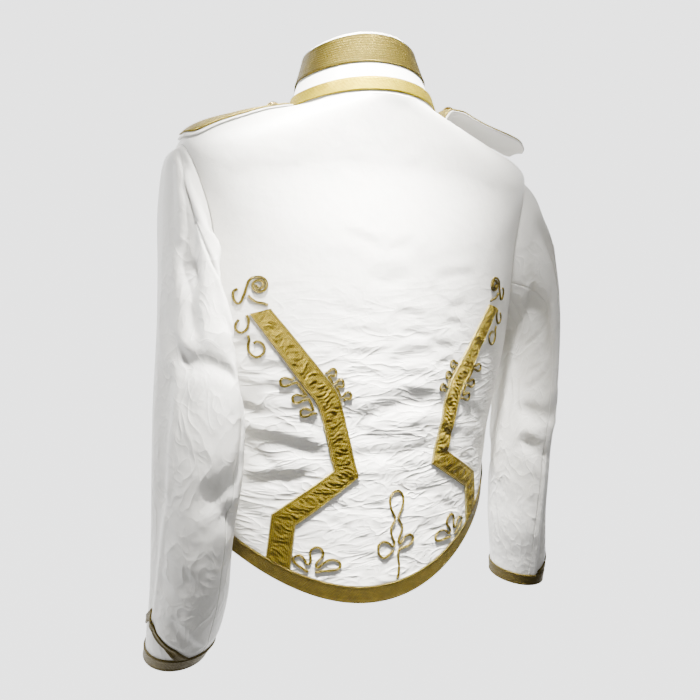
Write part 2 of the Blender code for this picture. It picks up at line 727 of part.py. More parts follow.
def add_back_lace(side, mirror):
    half = BACK_LACE_WIDTH / 2
    rows = offset_path(np.array(BACK_LACE_PATH), (-half, 0, half))
    rows[0] = BACK_LACE_TOP
    rows = trim(on_side(rows, mirror), -1, -2, hem_lace_top)
    low, away = lay_on_back(filled_in(rows, LACE_SPACING))
    add_laid(f"{side}_back_lace", low, away, LACE, GOLD, BODY_CLOTH)


for side, mirror, _ in SIDES:
    add_back_lace(side, mirror)


def add_braid(name, path, mirror=1.0):
    """One flat braid laid along an open path on the back."""
    half = BRAID_WIDTH / 2
    flat = on_side(offset_path(np.array(path), (-half, half)), mirror)
    low, away = lay_on_back(flat)
    add_laid(name, low, away, BRAID_HEIGHT, BRAID, BODY_CLOTH, narrow=0.6)


# Three loops of braid stand on each edge of the back lace, joined by a run beside it. Each
# loop is drawn from its root, as the way out and the way up along the lace. Columns of the
# roots: x, z, direction of the way out in degrees.
INNER_ROOTS = (
    (0.0820, -0.2742, 165),
    (0.0739, -0.2862, 162),
    (0.0657, -0.2995, 158),
)
INNER_LOOP = (
    (-0.0010, 0.0029), (-0.0006, 0.0021), (0.0006, 0.0017), (0.0028, 0.0025),
    (0.0050, 0.0036), (0.0072, 0.0038), (0.0090, 0.0024), (0.0096, 0.0000),
    (0.0090, -0.0024), (0.0074, -0.0037), (0.0056, -0.0033), (0.0042, -0.0022),
    (0.0030, -0.0017), (0.0018, -0.0022), (0.0013, -0.0032), (0.0014, -0.0040),
)
OUTER_ROOTS = (
    (0.1122, -0.2797, -4),
    (0.1006, -0.2970, -4),
    (0.0930, -0.3115, -4),
)
OUTER_LOOP = (
    (0.0021, 0.0042), (0.0019, 0.0032), (0.0025, 0.0021), (0.0037, 0.0017),
    (0.0058, 0.0026), (0.0086, 0.0038), (0.0114, 0.0041), (0.0137, 0.0027),
    (0.0145, 0.0000), (0.0137, -0.0027), (0.0114, -0.0041), (0.0082, -0.0039),
    (0.0046, -0.0025), (0.0019, -0.0018), (0.0001, -0.0017), (-0.0009, -0.0020),
    (-0.0014, -0.0027),
)


def loop_row(roots, loop, up):
    """One path through all the loops of a row; up is 1 where up lies left of the way out."""
    path = []
    for x, z, direction in roots:
        c, s = math.cos(math.radians(direction)), math.sin(math.radians(direction))
        path += [(x + a * c - up * b * s, z + a * s + up * b * c) for a, b in loop]
    return path


for side, mirror, _ in SIDES:
    add_braid(f"{side}_inner_loops", loop_row(INNER_ROOTS, INNER_LOOP, -1), mirror)
    add_braid(f"{side}_outer_loops", loop_row(OUTER_ROOTS, OUTER_LOOP, 1), mirror)


def smooth(points, per_stretch):
    """A smooth path through drawn points, each stretch a cubic that heads past its ends
    towards their neighbours."""
    points = np.array(points, float)
    ends = np.concatenate([2 * points[:1] - points[1:2], points, 2 * points[-1:] - points[-2:-1]])
    made = []
    for i in range(1, len(ends) - 2):
        a, b, c, d = ends[i - 1 : i + 3]
        for f in np.arange(per_stretch) / per_stretch:
            made.append(
                0.5 * (2 * b + (c - a) * f + (2 * a - 5 * b + 4 * c - d) * f**2
                       + (3 * b - a - 3 * c + d) * f**3)
            )
    return np.array(made + [points[-1]])


# The knot where the back lace meets the armhole is four lengths of braid: a spiral whose
# tail hooks back, a bridge from it to the lace, a hook beside the lace's end and a ring that
# hangs below it.
SPIRAL_CENTRE = (0.1466, -0.1857)
SPIRAL_ANGLES = (math.radians(740), math.radians(84))
SPIRAL_RADII = (0.0021, 0.0080)
SPIRAL_POINTS = 26
KNOT_TAIL = (
    (0.1517, -0.1784), (0.1552, -0.1812), (0.1570, -0.1860), (0.1586, -0.1918),
    (0.1604, -0.1972), (0.1624, -0.2018), (0.1650, -0.2030), (0.1675, -0.2003),
    (0.1688, -0.1955), (0.1680, -0.1910), (0.1648, -0.1893),
)
KNOT_BRIDGE = (
    (0.1562, -0.1952), (0.1528, -0.1990), (0.1480, -0.2019), (0.1428, -0.2028),
    (0.1384, -0.2046),
)
KNOT_HOOK = (
    (0.1573, -0.2142), (0.1557, -0.2182), (0.1556, -0.2232), (0.1573, -0.2282),
    (0.1606, -0.2312), (0.1643, -0.2303), (0.1667, -0.2266), (0.1660, -0.2222),
    (0.1638, -0.2186),
)
KNOT_DROP = (
    (0.1560, -0.2336), (0.1546, -0.2385), (0.1553, -0.2455), (0.1535, -0.2520),
    (0.1485, -0.2553), (0.1435, -0.2530), (0.1411, -0.2474), (0.1434, -0.2420),
    (0.1480, -0.2400), (0.1508, -0.2420),
)
# Three petals stand on the hem lace on each side of the back, drawn from their common root.
TREFOIL_ROOT = {"left": 0.0954, "right": -0.0830}
TREFOIL_RISE = 0.0028
TREFOIL_PATH = (
    (0.0026, 0.0024), (0.0072, 0.0062), (0.0120, 0.0102), (0.0156, 0.0138),
    (0.0168, 0.0172), (0.0150, 0.0202), (0.0110, 0.0212), (0.0074, 0.0188),
    (0.0056, 0.0148), (0.0040, 0.0117), (0.0016, 0.0117), (0.0001, 0.0148),
    (0.0003, 0.0190), (0.0008, 0.0225), (-0.0008, 0.0268), (-0.0050, 0.0291),
    (-0.0096, 0.0272), (-0.0121, 0.0228), (-0.0112, 0.0184), (-0.0085, 0.0150),
    (-0.0058, 0.0118), (-0.0050, 0.0084), (-0.0074, 0.0068), (-0.0104, 0.0092),
    (-0.0138, 0.0122), (-0.0190, 0.0140), (-0.0244, 0.0134), (-0.0290, 0.0100),
    (-0.0299, 0.0058), (-0.0262, 0.0030), (-0.0204, 0.0024), (-0.0124, 0.0026),
    (-0.0040, 0.0018),
)


def spiral():
    angle = np.linspace(*SPIRAL_ANGLES, SPIRAL_POINTS)
    radius = np.linspace(*SPIRAL_RADII, SPIRAL_POINTS)
    x = SPIRAL_CENTRE[0] + radius * np.cos(angle)
    z = SPIRAL_CENTRE[1] + radius * np.sin(angle)
    return np.stack([x, z], axis=-1)


def add_trefoil(side, mirror):
    x = TREFOIL_ROOT[side]
    root = np.array([x, float(hem_lace_top(np.array([x]))[0]) + TREFOIL_RISE])
    add_flat_braid(f"{side}_trefoil", np.array(TREFOIL_PATH) * np.array([mirror, 1]) + root)


def add_flat_braid(name, path):
    """One flat braid along a path that is already in its place on the back."""
    half = BRAID_WIDTH / 2
    low, away = lay_on_back(offset_path(path, (-half, half)))
    add_laid(name, low, away, BRAID_HEIGHT, BRAID, BODY_CLOTH, narrow=0.6)


for side, mirror, _ in SIDES:
    add_braid(f"{side}_knot_spiral", np.concatenate([spiral(), KNOT_TAIL]), mirror)
    add_braid(f"{side}_knot_bridge", smooth(KNOT_BRIDGE, 2), mirror)
    add_braid(f"{side}_knot_hook", smooth(KNOT_HOOK, 2), mirror)
    add_braid(f"{side}_knot_drop", smooth(KNOT_DROP, 2), mirror)
    add_trefoil(side, mirror)


# In the middle of the back a stem rises from the hem lace, with a petal on each side and
# two loops above them, all one length of braid.
CENTRE_MOTIF = (
    (-0.0012, -0.5000), (-0.0022, -0.4900), (-0.0008, -0.4810), (-0.0006, -0.4752),
    (-0.0028, -0.4712), (-0.0078, -0.4702), (-0.0136, -0.4692), (-0.0188, -0.4662),
    (-0.0203, -0.4620), (-0.0176, -0.4582), (-0.0122, -0.4572), (-0.0080, -0.4592),
    (-0.0056, -0.4630), (-0.0030, -0.4648), (-0.0010, -0.4628), (-0.0016, -0.4585),
    (-0.0034, -0.4545), (-0.0053, -0.4495), (-0.0051, -0.4442), (-0.0024, -0.4398),
    (-0.0001, -0.4360), (-0.0018, -0.4315), (-0.0050, -0.4250), (-0.0070, -0.4175),
    (-0.0060, -0.4108), (-0.0024, -0.4066), (0.0020, -0.4056), (0.0066, -0.4070),
    (0.0098, -0.4115), (0.0100, -0.4180), (0.0078, -0.4255), (0.0050, -0.4315),
    (0.0035, -0.4360), (0.0058, -0.4404), (0.0084, -0.4455), (0.0082, -0.4515),
    (0.0062, -0.4572), (0.0044, -0.4614), (0.0042, -0.4650), (0.0066, -0.4662),
    (0.0094, -0.4634), (0.0134, -0.4604), (0.0184, -0.4592), (0.0226, -0.4612),
    (0.0239, -0.4660), (0.0222, -0.4724), (0.0182, -0.4770), (0.0136, -0.4768),
    (0.0090, -0.4738), (0.0050, -0.4708),
)


def add_centre_motif():
    foot = (0.0004, float(hem_lace_top(np.array([0.0004]))[0]) + LACE_CLEARANCE)
    add_flat_braid("centre_motif", np.array((foot,) + CENTRE_MOTIF))


add_centre_motif()


# Cuff lace rings each cuff, and a pointed lace stands on it at the outside of the sleeve.
CUFF_LACE_WIDTH = 0.018
CUFF_LACE_SETBACK = 0.0006
POINT_LACE_WIDTH = 0.0090
POINT_LACE_PATH = ((0.0470, 0.0200), (0.0020, 0.0640), (-0.0420, 0.0200))
POINT_LACE_SPACING = 0.0075
POINT_LACE_CLEARANCE = 0.0009
SLEEVE_CLOTH = {
    side: outer_tree([f"{side}_top_sleeve", f"{side}_under_sleeve"]) for side, _, _ in SIDES
}


def sleeve_spot(side, round_way, height):
    """Points and outward directions on a sleeve, from the way round it from its outer line
    and the height above its cuff."""
    centre_z = (SLEEVE["outer_z"] + SLEEVE["inner_z"]) / 2
    heights = centre_z - centre_z[-1]
    level = np.interp(height, heights[::-1], np.arange(CUFF, -1, -1.0))
    across = np.interp(level, np.arange(CUFF + 1.0), SLEEVE["outer_x"] - SLEEVE["inner_x"]) / 2
    deep = np.interp(level, np.arange(CUFF + 1.0), SLEEVE["half_depth"])
    place = round_way / (2 * np.pi * np.sqrt((across**2 + deep**2) / 2))
    mirror = np.array([mirror_of(side), 1, 1])

    def surface(a, b):
        return sleeve(side, a, b)

    return surface(place, level) * mirror, -normals(surface, place, level) * mirror


def add_cuff_lace(side):
    around = 2 * ARMHOLE_STEPS
    mirror = np.array([mirror_of(side), 1, 1])
    rows = np.array([CUFF_LACE_SETBACK, CUFF_LACE_WIDTH / 2, CUFF_LACE_WIDTH])[:, None]
    centre_z = (SLEEVE["outer_z"] + SLEEVE["inner_z"]) / 2
    heights = centre_z - centre_z[-1]
    level = np.interp(rows, heights[::-1], np.arange(CUFF, -1, -1.0)) + np.zeros((1, around))
    place = (np.arange(around) / around)[None, :] + 0 * rows

    def surface(a, b):
        return sleeve(side, a, b)

    away = -normals(surface, place, level) * mirror
    low = surface(place, level) * mirror + away * LAID_GAP
    add_laid(f"{side}_cuff_lace", low, away, LACE, GOLD, SLEEVE_CLOTH[side], closed=True)


def add_point_lace(side):
    path = resample(np.array(POINT_LACE_PATH), POINT_LACE_SPACING)
    half = POINT_LACE_WIDTH / 2
    flat = offset_path(path, (-half, half))

    def cuff_lace_top(x):
        return CUFF_LACE_WIDTH + POINT_LACE_CLEARANCE + 0 * x

    flat = trim(flat, 0, 1, cuff_lace_top)
    flat = trim(flat, -1, -2, cuff_lace_top)
    spot, away = sleeve_spot(side, flat[..., 0], flat[..., 1])
    add_laid(
        f"{side}_point_lace", spot + away * LAID_GAP, away, LACE, GOLD, SLEEVE_CLOTH[side]
    )


for side, _, _ in SIDES:
    add_cuff_lace(side)
    add_point_lace(side)


# A stiff strap lies along each shoulder. It puffs up near the collar and its rounded outer
# end stands clear of the sleeve's head.
STRAP_COLUMNS = ("x", "y", "half_breadth", "z", "curve")
STRAP_ROWS = {
    "left": (
        (0.0935, 0.008, 0.0170, -0.0060, 0.0060),
        (0.1030, 0.010, 0.0200, -0.0080, 0.0070),
        (0.1150, 0.012, 0.0220, -0.0120, 0.0080),
        (0.1290, 0.014, 0.0230, -0.0180, 0.0090),
        (0.1430, 0.016, 0.0235, -0.0250, 0.0090),
        (0.1570, 0.017, 0.0235, -0.0320, 0.0090),
        (0.1700, 0.018, 0.0235, -0.0390, 0.0090),
        (0.1820, 0.019, 0.0235, -0.0450, 0.0090),
        (0.1930, 0.020, 0.0225, -0.0520, 0.0080),
        (0.2010, 0.020, 0.0190, -0.0580, 0.0060),
        (0.2060, 0.020, 0.0110, -0.0630, 0.0030),
    ),
    "right": (
        (0.0925, 0.008, 0.0170, -0.0020, 0.0030),
        (0.0965, 0.009, 0.0185, 0.0070, 0.0035),
        (0.1030, 0.010, 0.0205, 0.0150, 0.0035),
        (0.1140, 0.012, 0.0220, 0.0140, 0.0040),
        (0.1270, 0.014, 0.0230, 0.0085, 0.0045),
        (0.1400, 0.016, 0.0235, 0.0030, 0.0045),
        (0.1540, 0.017, 0.0235, -0.0010, 0.0045),
        (0.1680, 0.018, 0.0235, -0.0045, 0.0045),
        (0.1810, 0.019, 0.0235, -0.0080, 0.0045),
        (0.1930, 0.020, 0.0225, -0.0125, 0.0040),
        (0.2020, 0.020, 0.0190, -0.0185, 0.0030),
        (0.2070, 0.020, 0.0110, -0.0240, 0.0015),
    ),
}
STRAP_THICKNESS = 0.0020
STRAP_ACROSS = 5
STRAP_LACE_INSET = 0.0022
STRAP_BUTTON = (0.1100, 0.0062)
BUTTON_STAND_OFF = 0.0004
SHOULDER_CLOTH = outer_tree(
    ["back", "left_front", "right_front", "left_top_sleeve", "right_top_sleeve"]
)


def strap_grid(side):
    """Points of a strap's under side, and the direction that it faces away from the cloth.
    Where the table would put it in the cloth, it lies on the cloth."""
    place = {name: column(STRAP_ROWS[side], STRAP_COLUMNS, name) for name in STRAP_COLUMNS}
    across = np.linspace(-1, 1, STRAP_ACROSS)[None, :]
    x = place["x"][:, None] * mirror_of(side) + 0 * across
    y = place["y"][:, None] + place["half_breadth"][:, None] * across
    z = place["z"][:, None] - place["curve"][:, None] * across**2
    under_it = [hit(SHOULDER_CLOTH, (a, b, 0.2), (0, 0, -1)) for a, b in zip(x.flat, y.flat)]
    cloth_z = np.array([spot[2] for spot, _ in under_it]).reshape(z.shape)
    points = np.stack([x, y, np.maximum(z, cloth_z + LAID_GAP)], axis=-1)
    along_strap, over_strap = np.gradient(points, axis=0), np.gradient(points, axis=1)
    away = unit(np.cross(along_strap, over_strap)) * mirror_of(side)
    return points, away


def drawn_in(grid, side, inset):
    """A strap's grid drawn in from its edges by this much."""
    breadth = column(STRAP_ROWS[side], STRAP_COLUMNS, "half_breadth")[:, None, None]
    middle = grid[:, STRAP_ACROSS // 2][:, None, :]
    narrow = middle + (grid - middle) * (1 - inset / breadth)
    for end, other in ((0, 1), (-1, -2)):
        step = np.linalg.norm(narrow[other] - narrow[end], axis=-1, keepdims=True)
        narrow[end] = narrow[end] + (narrow[other] - narrow[end]) * np.minimum(inset / step, 0.7)
    return narrow


def add_dome(name, centre, away, radius, height, around=14):
    """A domed round button that stands on a spot by its short shank."""
    away = unit(np.asarray(away))
    side = unit(np.cross(away, np.array([0.3, 0.2, 1.0])))
    other = np.cross(away, side)
    profile = ((0.3, 0.0), (0.3, 0.2), (1.0, 0.32), (1.0, 0.46), (0.82, 0.74), (0.48, 0.93))
    points = []
    for wide, tall in profile:
        for step in range(around):
            angle = 2 * np.pi * step / around
            offset = side * math.cos(angle) + other * math.sin(angle)
            points.append(centre + offset * radius * wide + away * height * tall)
    points.append(centre + away * height)
    faces = [tuple(range(around))[::-1]]
    for ring in range(len(profile) - 1):
        for step in range(around):
            a, b = ring * around + step, ring * around + (step + 1) % around
            faces.append((a, b, b + around, a + around))
    top = (len(profile) - 1) * around
    for step in range(around):
        faces.append((top + step, top + (step + 1) % around, len(points) - 1))
    add_mesh(name, points, faces, METAL)


def add_strap(side):
    points, away = strap_grid(side)
    index = np.arange(points[..., 0].size).reshape(points.shape[:2])
    faces = np.stack(
        [index[:-1, :-1], index[:-1, 1:], index[1:, 1:], index[1:, :-1]], axis=-1
    ).reshape(-1, 4)
    under = settle(points.reshape(-1, 3), faces, away.reshape(-1, 3), SHOULDER_CLOTH)
    under = under.reshape(points.shape)
    upper = under + away * STRAP_THICKNESS
    add_wall(f"{side}_strap", upper, under, WHITE)
    cloth = outer_tree([f"{side}_strap"])
    low = drawn_in(upper, side, STRAP_LACE_INSET) + away * LAID_GAP
    add_laid(f"{side}_strap_lace", low, away, LACE, GOLD, cloth)
    lace = outer_tree([f"{side}_strap_lace"])
    x, radius = STRAP_BUTTON
    spot, up = hit(lace, (x * mirror_of(side), 0.0105, 0.2), (0, 0, -1))
    add_dome(f"{side}_strap_button", spot + up * BUTTON_STAND_OFF, up, radius, 0.0042)


for side, _, _ in SIDES:
    add_strap(side)


# Buttons close the front, in a row just inside the left front's edge.
BUTTON_LEVELS = (0.45, 1.30, 2.15, 3.00, 3.85, 4.70, 5.75)
BUTTON_RADIUS = 0.0075
BUTTON_HEIGHT = 0.0056


def add_front_buttons():
    front = outer_tree(["left_front"])
    for number, level in enumerate(BUTTON_LEVELS, start=1):
        turn, level = np.array(-np.pi / 2), np.array(level)
        spot, away = body(turn, level), normals(body, turn, level)
        found, _ = hit(front, (0.0, -0.5, float(spot[2])), (0, 1, 0))
        centre = found + away * BUTTON_STAND_OFF
        add_dome(f"front_button_{number}", centre, away, BUTTON_RADIUS, BUTTON_HEIGHT)


add_front_buttons()
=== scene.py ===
"""White hussar jacket with gold lace and soutache braid, seen from behind."""

import math

import bpy
import numpy as np
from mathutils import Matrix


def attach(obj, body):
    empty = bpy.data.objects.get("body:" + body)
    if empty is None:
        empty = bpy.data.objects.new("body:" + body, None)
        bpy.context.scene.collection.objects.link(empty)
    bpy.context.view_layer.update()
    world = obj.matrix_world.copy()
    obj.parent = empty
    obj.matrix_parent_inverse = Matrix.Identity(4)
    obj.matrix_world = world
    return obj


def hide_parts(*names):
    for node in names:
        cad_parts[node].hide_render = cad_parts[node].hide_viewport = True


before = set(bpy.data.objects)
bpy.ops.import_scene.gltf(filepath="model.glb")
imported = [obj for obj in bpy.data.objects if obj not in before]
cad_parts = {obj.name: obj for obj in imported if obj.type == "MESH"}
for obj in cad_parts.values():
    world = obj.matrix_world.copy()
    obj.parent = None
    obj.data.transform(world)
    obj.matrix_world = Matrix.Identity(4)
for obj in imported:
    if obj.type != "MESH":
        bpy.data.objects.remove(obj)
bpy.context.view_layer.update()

# The studio
# A pale round sweep under and behind the jacket, painted plain. The jacket hangs at the
# height at which it is worn, so the floor lies well below it.
SWEEP_FLOOR = -1.35
SWEEP_RADIUS = 3.6
SWEEP_BEND = 1.2
SWEEP_TOP = 3.4
SWEEP_GREY = (0.99, 0.995, 1.0, 1.0)
SWEEP_GLOW_DIM, SWEEP_GLOW_FULL = 0.30, 2.85
SWEEP_GLOW_FROM, SWEEP_GLOW_TO = 0.15, -0.30


def sweep_mesh():
    """A profile turned about the vertical axis: flat out to the bend, a quarter circle up,
    then straight to the top. Each point is the profile's radius times a unit circle."""
    bend = np.linspace(0, np.pi / 2, 13)
    radius = np.concatenate(
        [[0.001, 1.2], SWEEP_RADIUS - SWEEP_BEND + SWEEP_BEND * np.sin(bend), [SWEEP_RADIUS]]
    )
    height = np.concatenate(
        [[0, 0], SWEEP_BEND * (1 - np.cos(bend)), [SWEEP_TOP]]
    ) + SWEEP_FLOOR
    angle = np.linspace(0, 2 * np.pi, 97)[:-1]
    x = radius[:, None] * np.cos(angle)
    y = radius[:, None] * np.sin(angle)
    points = np.stack([x, y, height[:, None] + 0 * x], axis=-1).reshape(-1, 3)
    index = np.arange(points.shape[0]).reshape(x.shape)
    after = np.roll(index, -1, axis=1)
    faces = np.stack([index[:-1], after[:-1], after[1:], index[1:]], axis=-1).reshape(-1, 4)
    mesh = bpy.data.meshes.new("studio_sweep")
    mesh.from_pydata(points.tolist(), [], faces.tolist())
    mesh.shade_smooth()
    return mesh


sweep_paint = bpy.data.materials.new("pale studio paint")
sweep_paint.use_nodes = True
sweep_tree = sweep_paint.node_tree
sweep_shader = sweep_tree.nodes["Principled BSDF"]
sweep_shader.inputs["Base Color"].default_value = (0.05, 0.05, 0.05, 1.0)
sweep_shader.inputs["Roughness"].default_value = 0.9
sweep_shader.inputs["Specular IOR Level"].default_value = 0.0
sweep_shader.inputs["Emission Color"].default_value = SWEEP_GREY
# The half of the sweep behind the jacket is lit evenly; the half behind the camera is dim.
sweep_place = sweep_tree.nodes.new("ShaderNodeSeparateXYZ")
sweep_tree.links.new(
    sweep_tree.nodes.new("ShaderNodeTexCoord").outputs["Object"], sweep_place.inputs["Vector"]
)
sweep_glow = sweep_tree.nodes.new("ShaderNodeMapRange")
sweep_glow.interpolation_type = "SMOOTHSTEP"
sweep_glow.inputs["From Min"].default_value = SWEEP_GLOW_FROM
sweep_glow.inputs["From Max"].default_value = SWEEP_GLOW_TO
sweep_glow.inputs["To Min"].default_value = SWEEP_GLOW_DIM
sweep_glow.inputs["To Max"].default_value = SWEEP_GLOW_FULL
sweep_tree.links.new(sweep_place.outputs["Y"], sweep_glow.inputs["Value"])
sweep_tree.links.new(sweep_glow.outputs["Result"], sweep_shader.inputs["Emission Strength"])
sweep = bpy.data.objects.new("studio_sweep", sweep_mesh())
sweep.data.materials.append(sweep_paint)
bpy.context.scene.collection.objects.link(sweep)

# The camera stands behind the jacket's left, a little over its middle, and looks slightly down.
CAMERA_AT = (0.3451, 0.6358, -0.184)
CAMERA_TURN = (math.radians(90 - 6.1), 0.0, math.radians(180 - 27.4))
CAMERA_LENS = 32.09
camera = bpy.data.objects.new("camera", bpy.data.cameras.new("camera"))
camera.location = CAMERA_AT
camera.rotation_euler = CAMERA_TURN
camera.data.lens = CAMERA_LENS
camera.data.clip_start = 0.01
bpy.context.scene.collection.objects.link(camera)
bpy.context.scene.camera = camera

# Soft boxes: the key, narrow and high, on the middle of the back; a small one from the right on
# the left sleeve; a weak fill high on the right; and a wide one for the front.
SOFT_BOXES = (
    ("key", (0.26, 0.48, 1.20), (0.03, 0.08, -0.15), (0.06, 0.36), 16, 6.0, (1.0, 0.99, 0.965)),
    ("side", (-0.50, 1.10, 0.50), (0.25, 0.06, -0.22), (0.10, 0.10), 11, 0.42, (1.0, 0.985, 0.95)),
    ("fill", (-0.45, 0.75, 1.00), (0, 0, 0.22), (0.5, 0.5), 42, 1.8, (1.0, 0.985, 0.95)),
    ("front", (0.4, -2.1, 1.2), (0, 0, -0.28), (1.6, 1.6), 180, 30, (1.0, 0.99, 0.98)),
)
for name, place, aim, size, spread, power, colour in SOFT_BOXES:
    lamp = bpy.data.lights.new(name, "AREA")
    lamp.shape, lamp.energy, lamp.color = "ELLIPSE", power, colour
    lamp.size, lamp.size_y = size
    lamp.spread = math.radians(spread)
    soft_box = bpy.data.objects.new(name, lamp)
    soft_box.location = place
    away = np.array(place) - np.array(aim)
    flat_reach = math.hypot(away[0], away[1])
    soft_box.rotation_euler = (math.atan2(flat_reach, away[2]), 0, math.atan2(away[0], -away[1]))
    bpy.context.scene.collection.objects.link(soft_box)
AIR_COLOUR, AIR_STRENGTH = (1.0, 0.97, 0.92, 1), 0.05
air = bpy.data.worlds.new("studio air")
air.use_nodes = True
air.node_tree.nodes["Background"].inputs["Color"].default_value = AIR_COLOUR
air.node_tree.nodes["Background"].inputs["Strength"].default_value = AIR_STRENGTH
bpy.context.scene.world = air

# White satin
# The jacket's cloth is a firm white cotton satin: long floats of warm white yarn with a
# low, soft shine and a faint fine weave.
SATIN_WHITE = (0.88, 0.865, 0.82, 1.0)
SATIN_SHADE = (0.84, 0.82, 0.765, 1.0)
SATIN_THREAD = 0.0006
WAVE_PERIOD = 2 * math.pi / 20


def new_group(name, inputs, outputs):
    """An empty node group with its sockets: each input is a name, a type and a value."""
    group = bpy.data.node_groups.new(name, "ShaderNodeTree")
    for label, kind, value in inputs:
        made = group.interface.new_socket(label, in_out="INPUT", socket_type=kind)
        if value is not None:
            made.default_value = value
    for label, kind in outputs:
        group.interface.new_socket(label, in_out="OUTPUT", socket_type=kind)
    return group, group.nodes.new("NodeGroupInput"), group.nodes.new("NodeGroupOutput")


def maths(tree, operation, first, second=None):
    """A Math node; each operand is a socket or a number."""
    node = tree.nodes.new("ShaderNodeMath")
    node.operation = operation
    for slot, operand in enumerate((first, second)):
        if isinstance(operand, (int, float)):
            node.inputs[slot].default_value = operand
        elif operand is not None:
            tree.links.new(operand, node.inputs[slot])
    return node.outputs[0]


def mixed(tree, share, first, second):
    """A colour between two, by a share from 0 to 1; each colour is a socket or a value."""
    node = tree.nodes.new("ShaderNodeMix")
    node.data_type = "RGBA"
    tree.links.new(share, node.inputs["Factor"])
    for label, colour in (("A", first), ("B", second)):
        socket = [s for s in node.inputs if s.name == label and s.type == "RGBA"][0]
        if isinstance(colour, tuple):
            socket.default_value = colour
        else:
            tree.links.new(colour, socket)
    return [s for s in node.outputs if s.type == "RGBA"][0]


def waves(tree, vector, scale, direction="X", distortion=0.0):
    """A wave texture's bands along this direction, at a fixed or a linked scale."""
    node = tree.nodes.new("ShaderNodeTexWave")
    node.wave_type, node.bands_direction = "BANDS", direction
    tree.links.new(vector, node.inputs["Vector"])
    if isinstance(scale, (int, float)):
        node.inputs["Scale"].default_value = scale
    else:
        tree.links.new(scale, node.inputs["Scale"])
    node.inputs["Distortion"].default_value = distortion
    return node.outputs["Fac"]


def noise(tree, vector, scale, detail=2.0, roughness=0.5):
    """A noise texture's value at this scale."""
    node = tree.nodes.new("ShaderNodeTexNoise")
    tree.links.new(vector, node.inputs["Vector"])
    node.inputs["Scale"].default_value = scale
    node.inputs["Detail"].default_value = detail
    node.inputs["Roughness"].default_value = roughness
    return node.outputs["Fac"]


def satin_weave():
    """Two sets of fine waves cross at right angles; the warp's are the stronger. Slow noise
    varies the shade, and stretched noise gives the faint slubs and rubbed places."""
    group, given, made = new_group(
        "satin weave",
        (("Vector", "NodeSocketVector", None), ("Thread", "NodeSocketFloat", 0.0006)),
        (("Height", "NodeSocketFloat"), ("Slub", "NodeSocketFloat"), ("Shade", "NodeSocketFloat")),
    )
    vector = given.outputs["Vector"]
    scale = maths(group, "DIVIDE", WAVE_PERIOD, given.outputs["Thread"])
    warp = waves(group, vector, scale, "X", 0.6)
    weft = waves(group, vector, scale, "Y", 0.6)
    height = maths(group, "ADD", maths(group, "MULTIPLY", warp, 0.65), maths(group, "MULTIPLY", weft, 0.35))
    stretch = group.nodes.new("ShaderNodeMapping")
    stretch.inputs["Scale"].default_value = (1.0, 0.22, 1.0)
    group.links.new(vector, stretch.inputs["Vector"])
    slub = noise(group, stretch.outputs["Vector"], 900, 2.0)
    shade = noise(group, vector, 22, 3.0, 0.55)
    group.links.new(height, made.inputs["Height"])
    group.links.new(slub, made.inputs["Slub"])
    group.links.new(shade, made.inputs["Shade"])
    return group


SATIN_WEAVE = satin_weave()


def placed(tree, group, **values):
    """A node group placed in a material, with these values on its inputs."""
    node = tree.nodes.new("ShaderNodeGroup")
    node.node_tree = group
    for label, value in values.items():
        if isinstance(value, bpy.types.NodeSocket):
            tree.links.new(value, node.inputs[label])
        else:
            node.inputs[label].default_value = value
    return node


def bumped(tree, height, distance, strength=1.0, under=None):
    """The normal of a bump of this height, over another normal where one is given."""
    node = tree.nodes.new("ShaderNodeBump")
    node.inputs["Distance"].default_value = distance
    node.inputs["Strength"].default_value = strength
    tree.links.new(height, node.inputs["Height"])
    if under is not None:
        tree.links.new(under, node.inputs["Normal"])
    return node.outputs["Normal"]


def uv_of(tree):
    """The piece's own UV map, in metres on its cloth or lace."""
    node = tree.nodes.new("ShaderNodeUVMap")
    node.uv_map = "cloth"
    return node.outputs["UV"]


def crumpled_cloth():
    """Soft-topped creases: one less the size of a wandering noise's distance from its middle,
    squared; a second, finer set crosses it. The stretch sets which way the creases run."""
    group, given, made = new_group(
        "crumpled cloth",
        (("Vector", "NodeSocketVector", None), ("Stretch", "NodeSocketVector", None)),
        (("Height", "NodeSocketFloat"),),
    )
    stretched = group.nodes.new("ShaderNodeVectorMath")
    stretched.operation = "MULTIPLY"
    group.links.new(given.outputs["Vector"], stretched.inputs[0])
    group.links.new(given.outputs["Stretch"], stretched.inputs[1])
    sets = []
    for scale, wander in ((1.0, 1.6), (2.3, 1.0)):
        field = group.nodes.new("ShaderNodeTexNoise")
        group.links.new(stretched.outputs["Vector"], field.inputs["Vector"])
        field.inputs["Scale"].default_value = scale
        field.inputs["Detail"].default_value = 1.0
        field.inputs["Distortion"].default_value = wander
        off = maths(group, "ABSOLUTE", maths(group, "SUBTRACT", field.outputs["Fac"], 0.5))
        fall = maths(group, "SUBTRACT", 1.0, maths(group, "MULTIPLY", off, 5.0))
        ridge = maths(group, "MAXIMUM", fall, 0.0)
        sets.append(maths(group, "MULTIPLY", ridge, ridge))
    both = maths(group, "ADD", maths(group, "MULTIPLY", sets[0], 0.7), maths(group, "MULTIPLY", sets[1], 0.3))
    group.links.new(both, made.inputs["Height"])
    return group


CRUMPLED_CLOTH = crumpled_cloth()


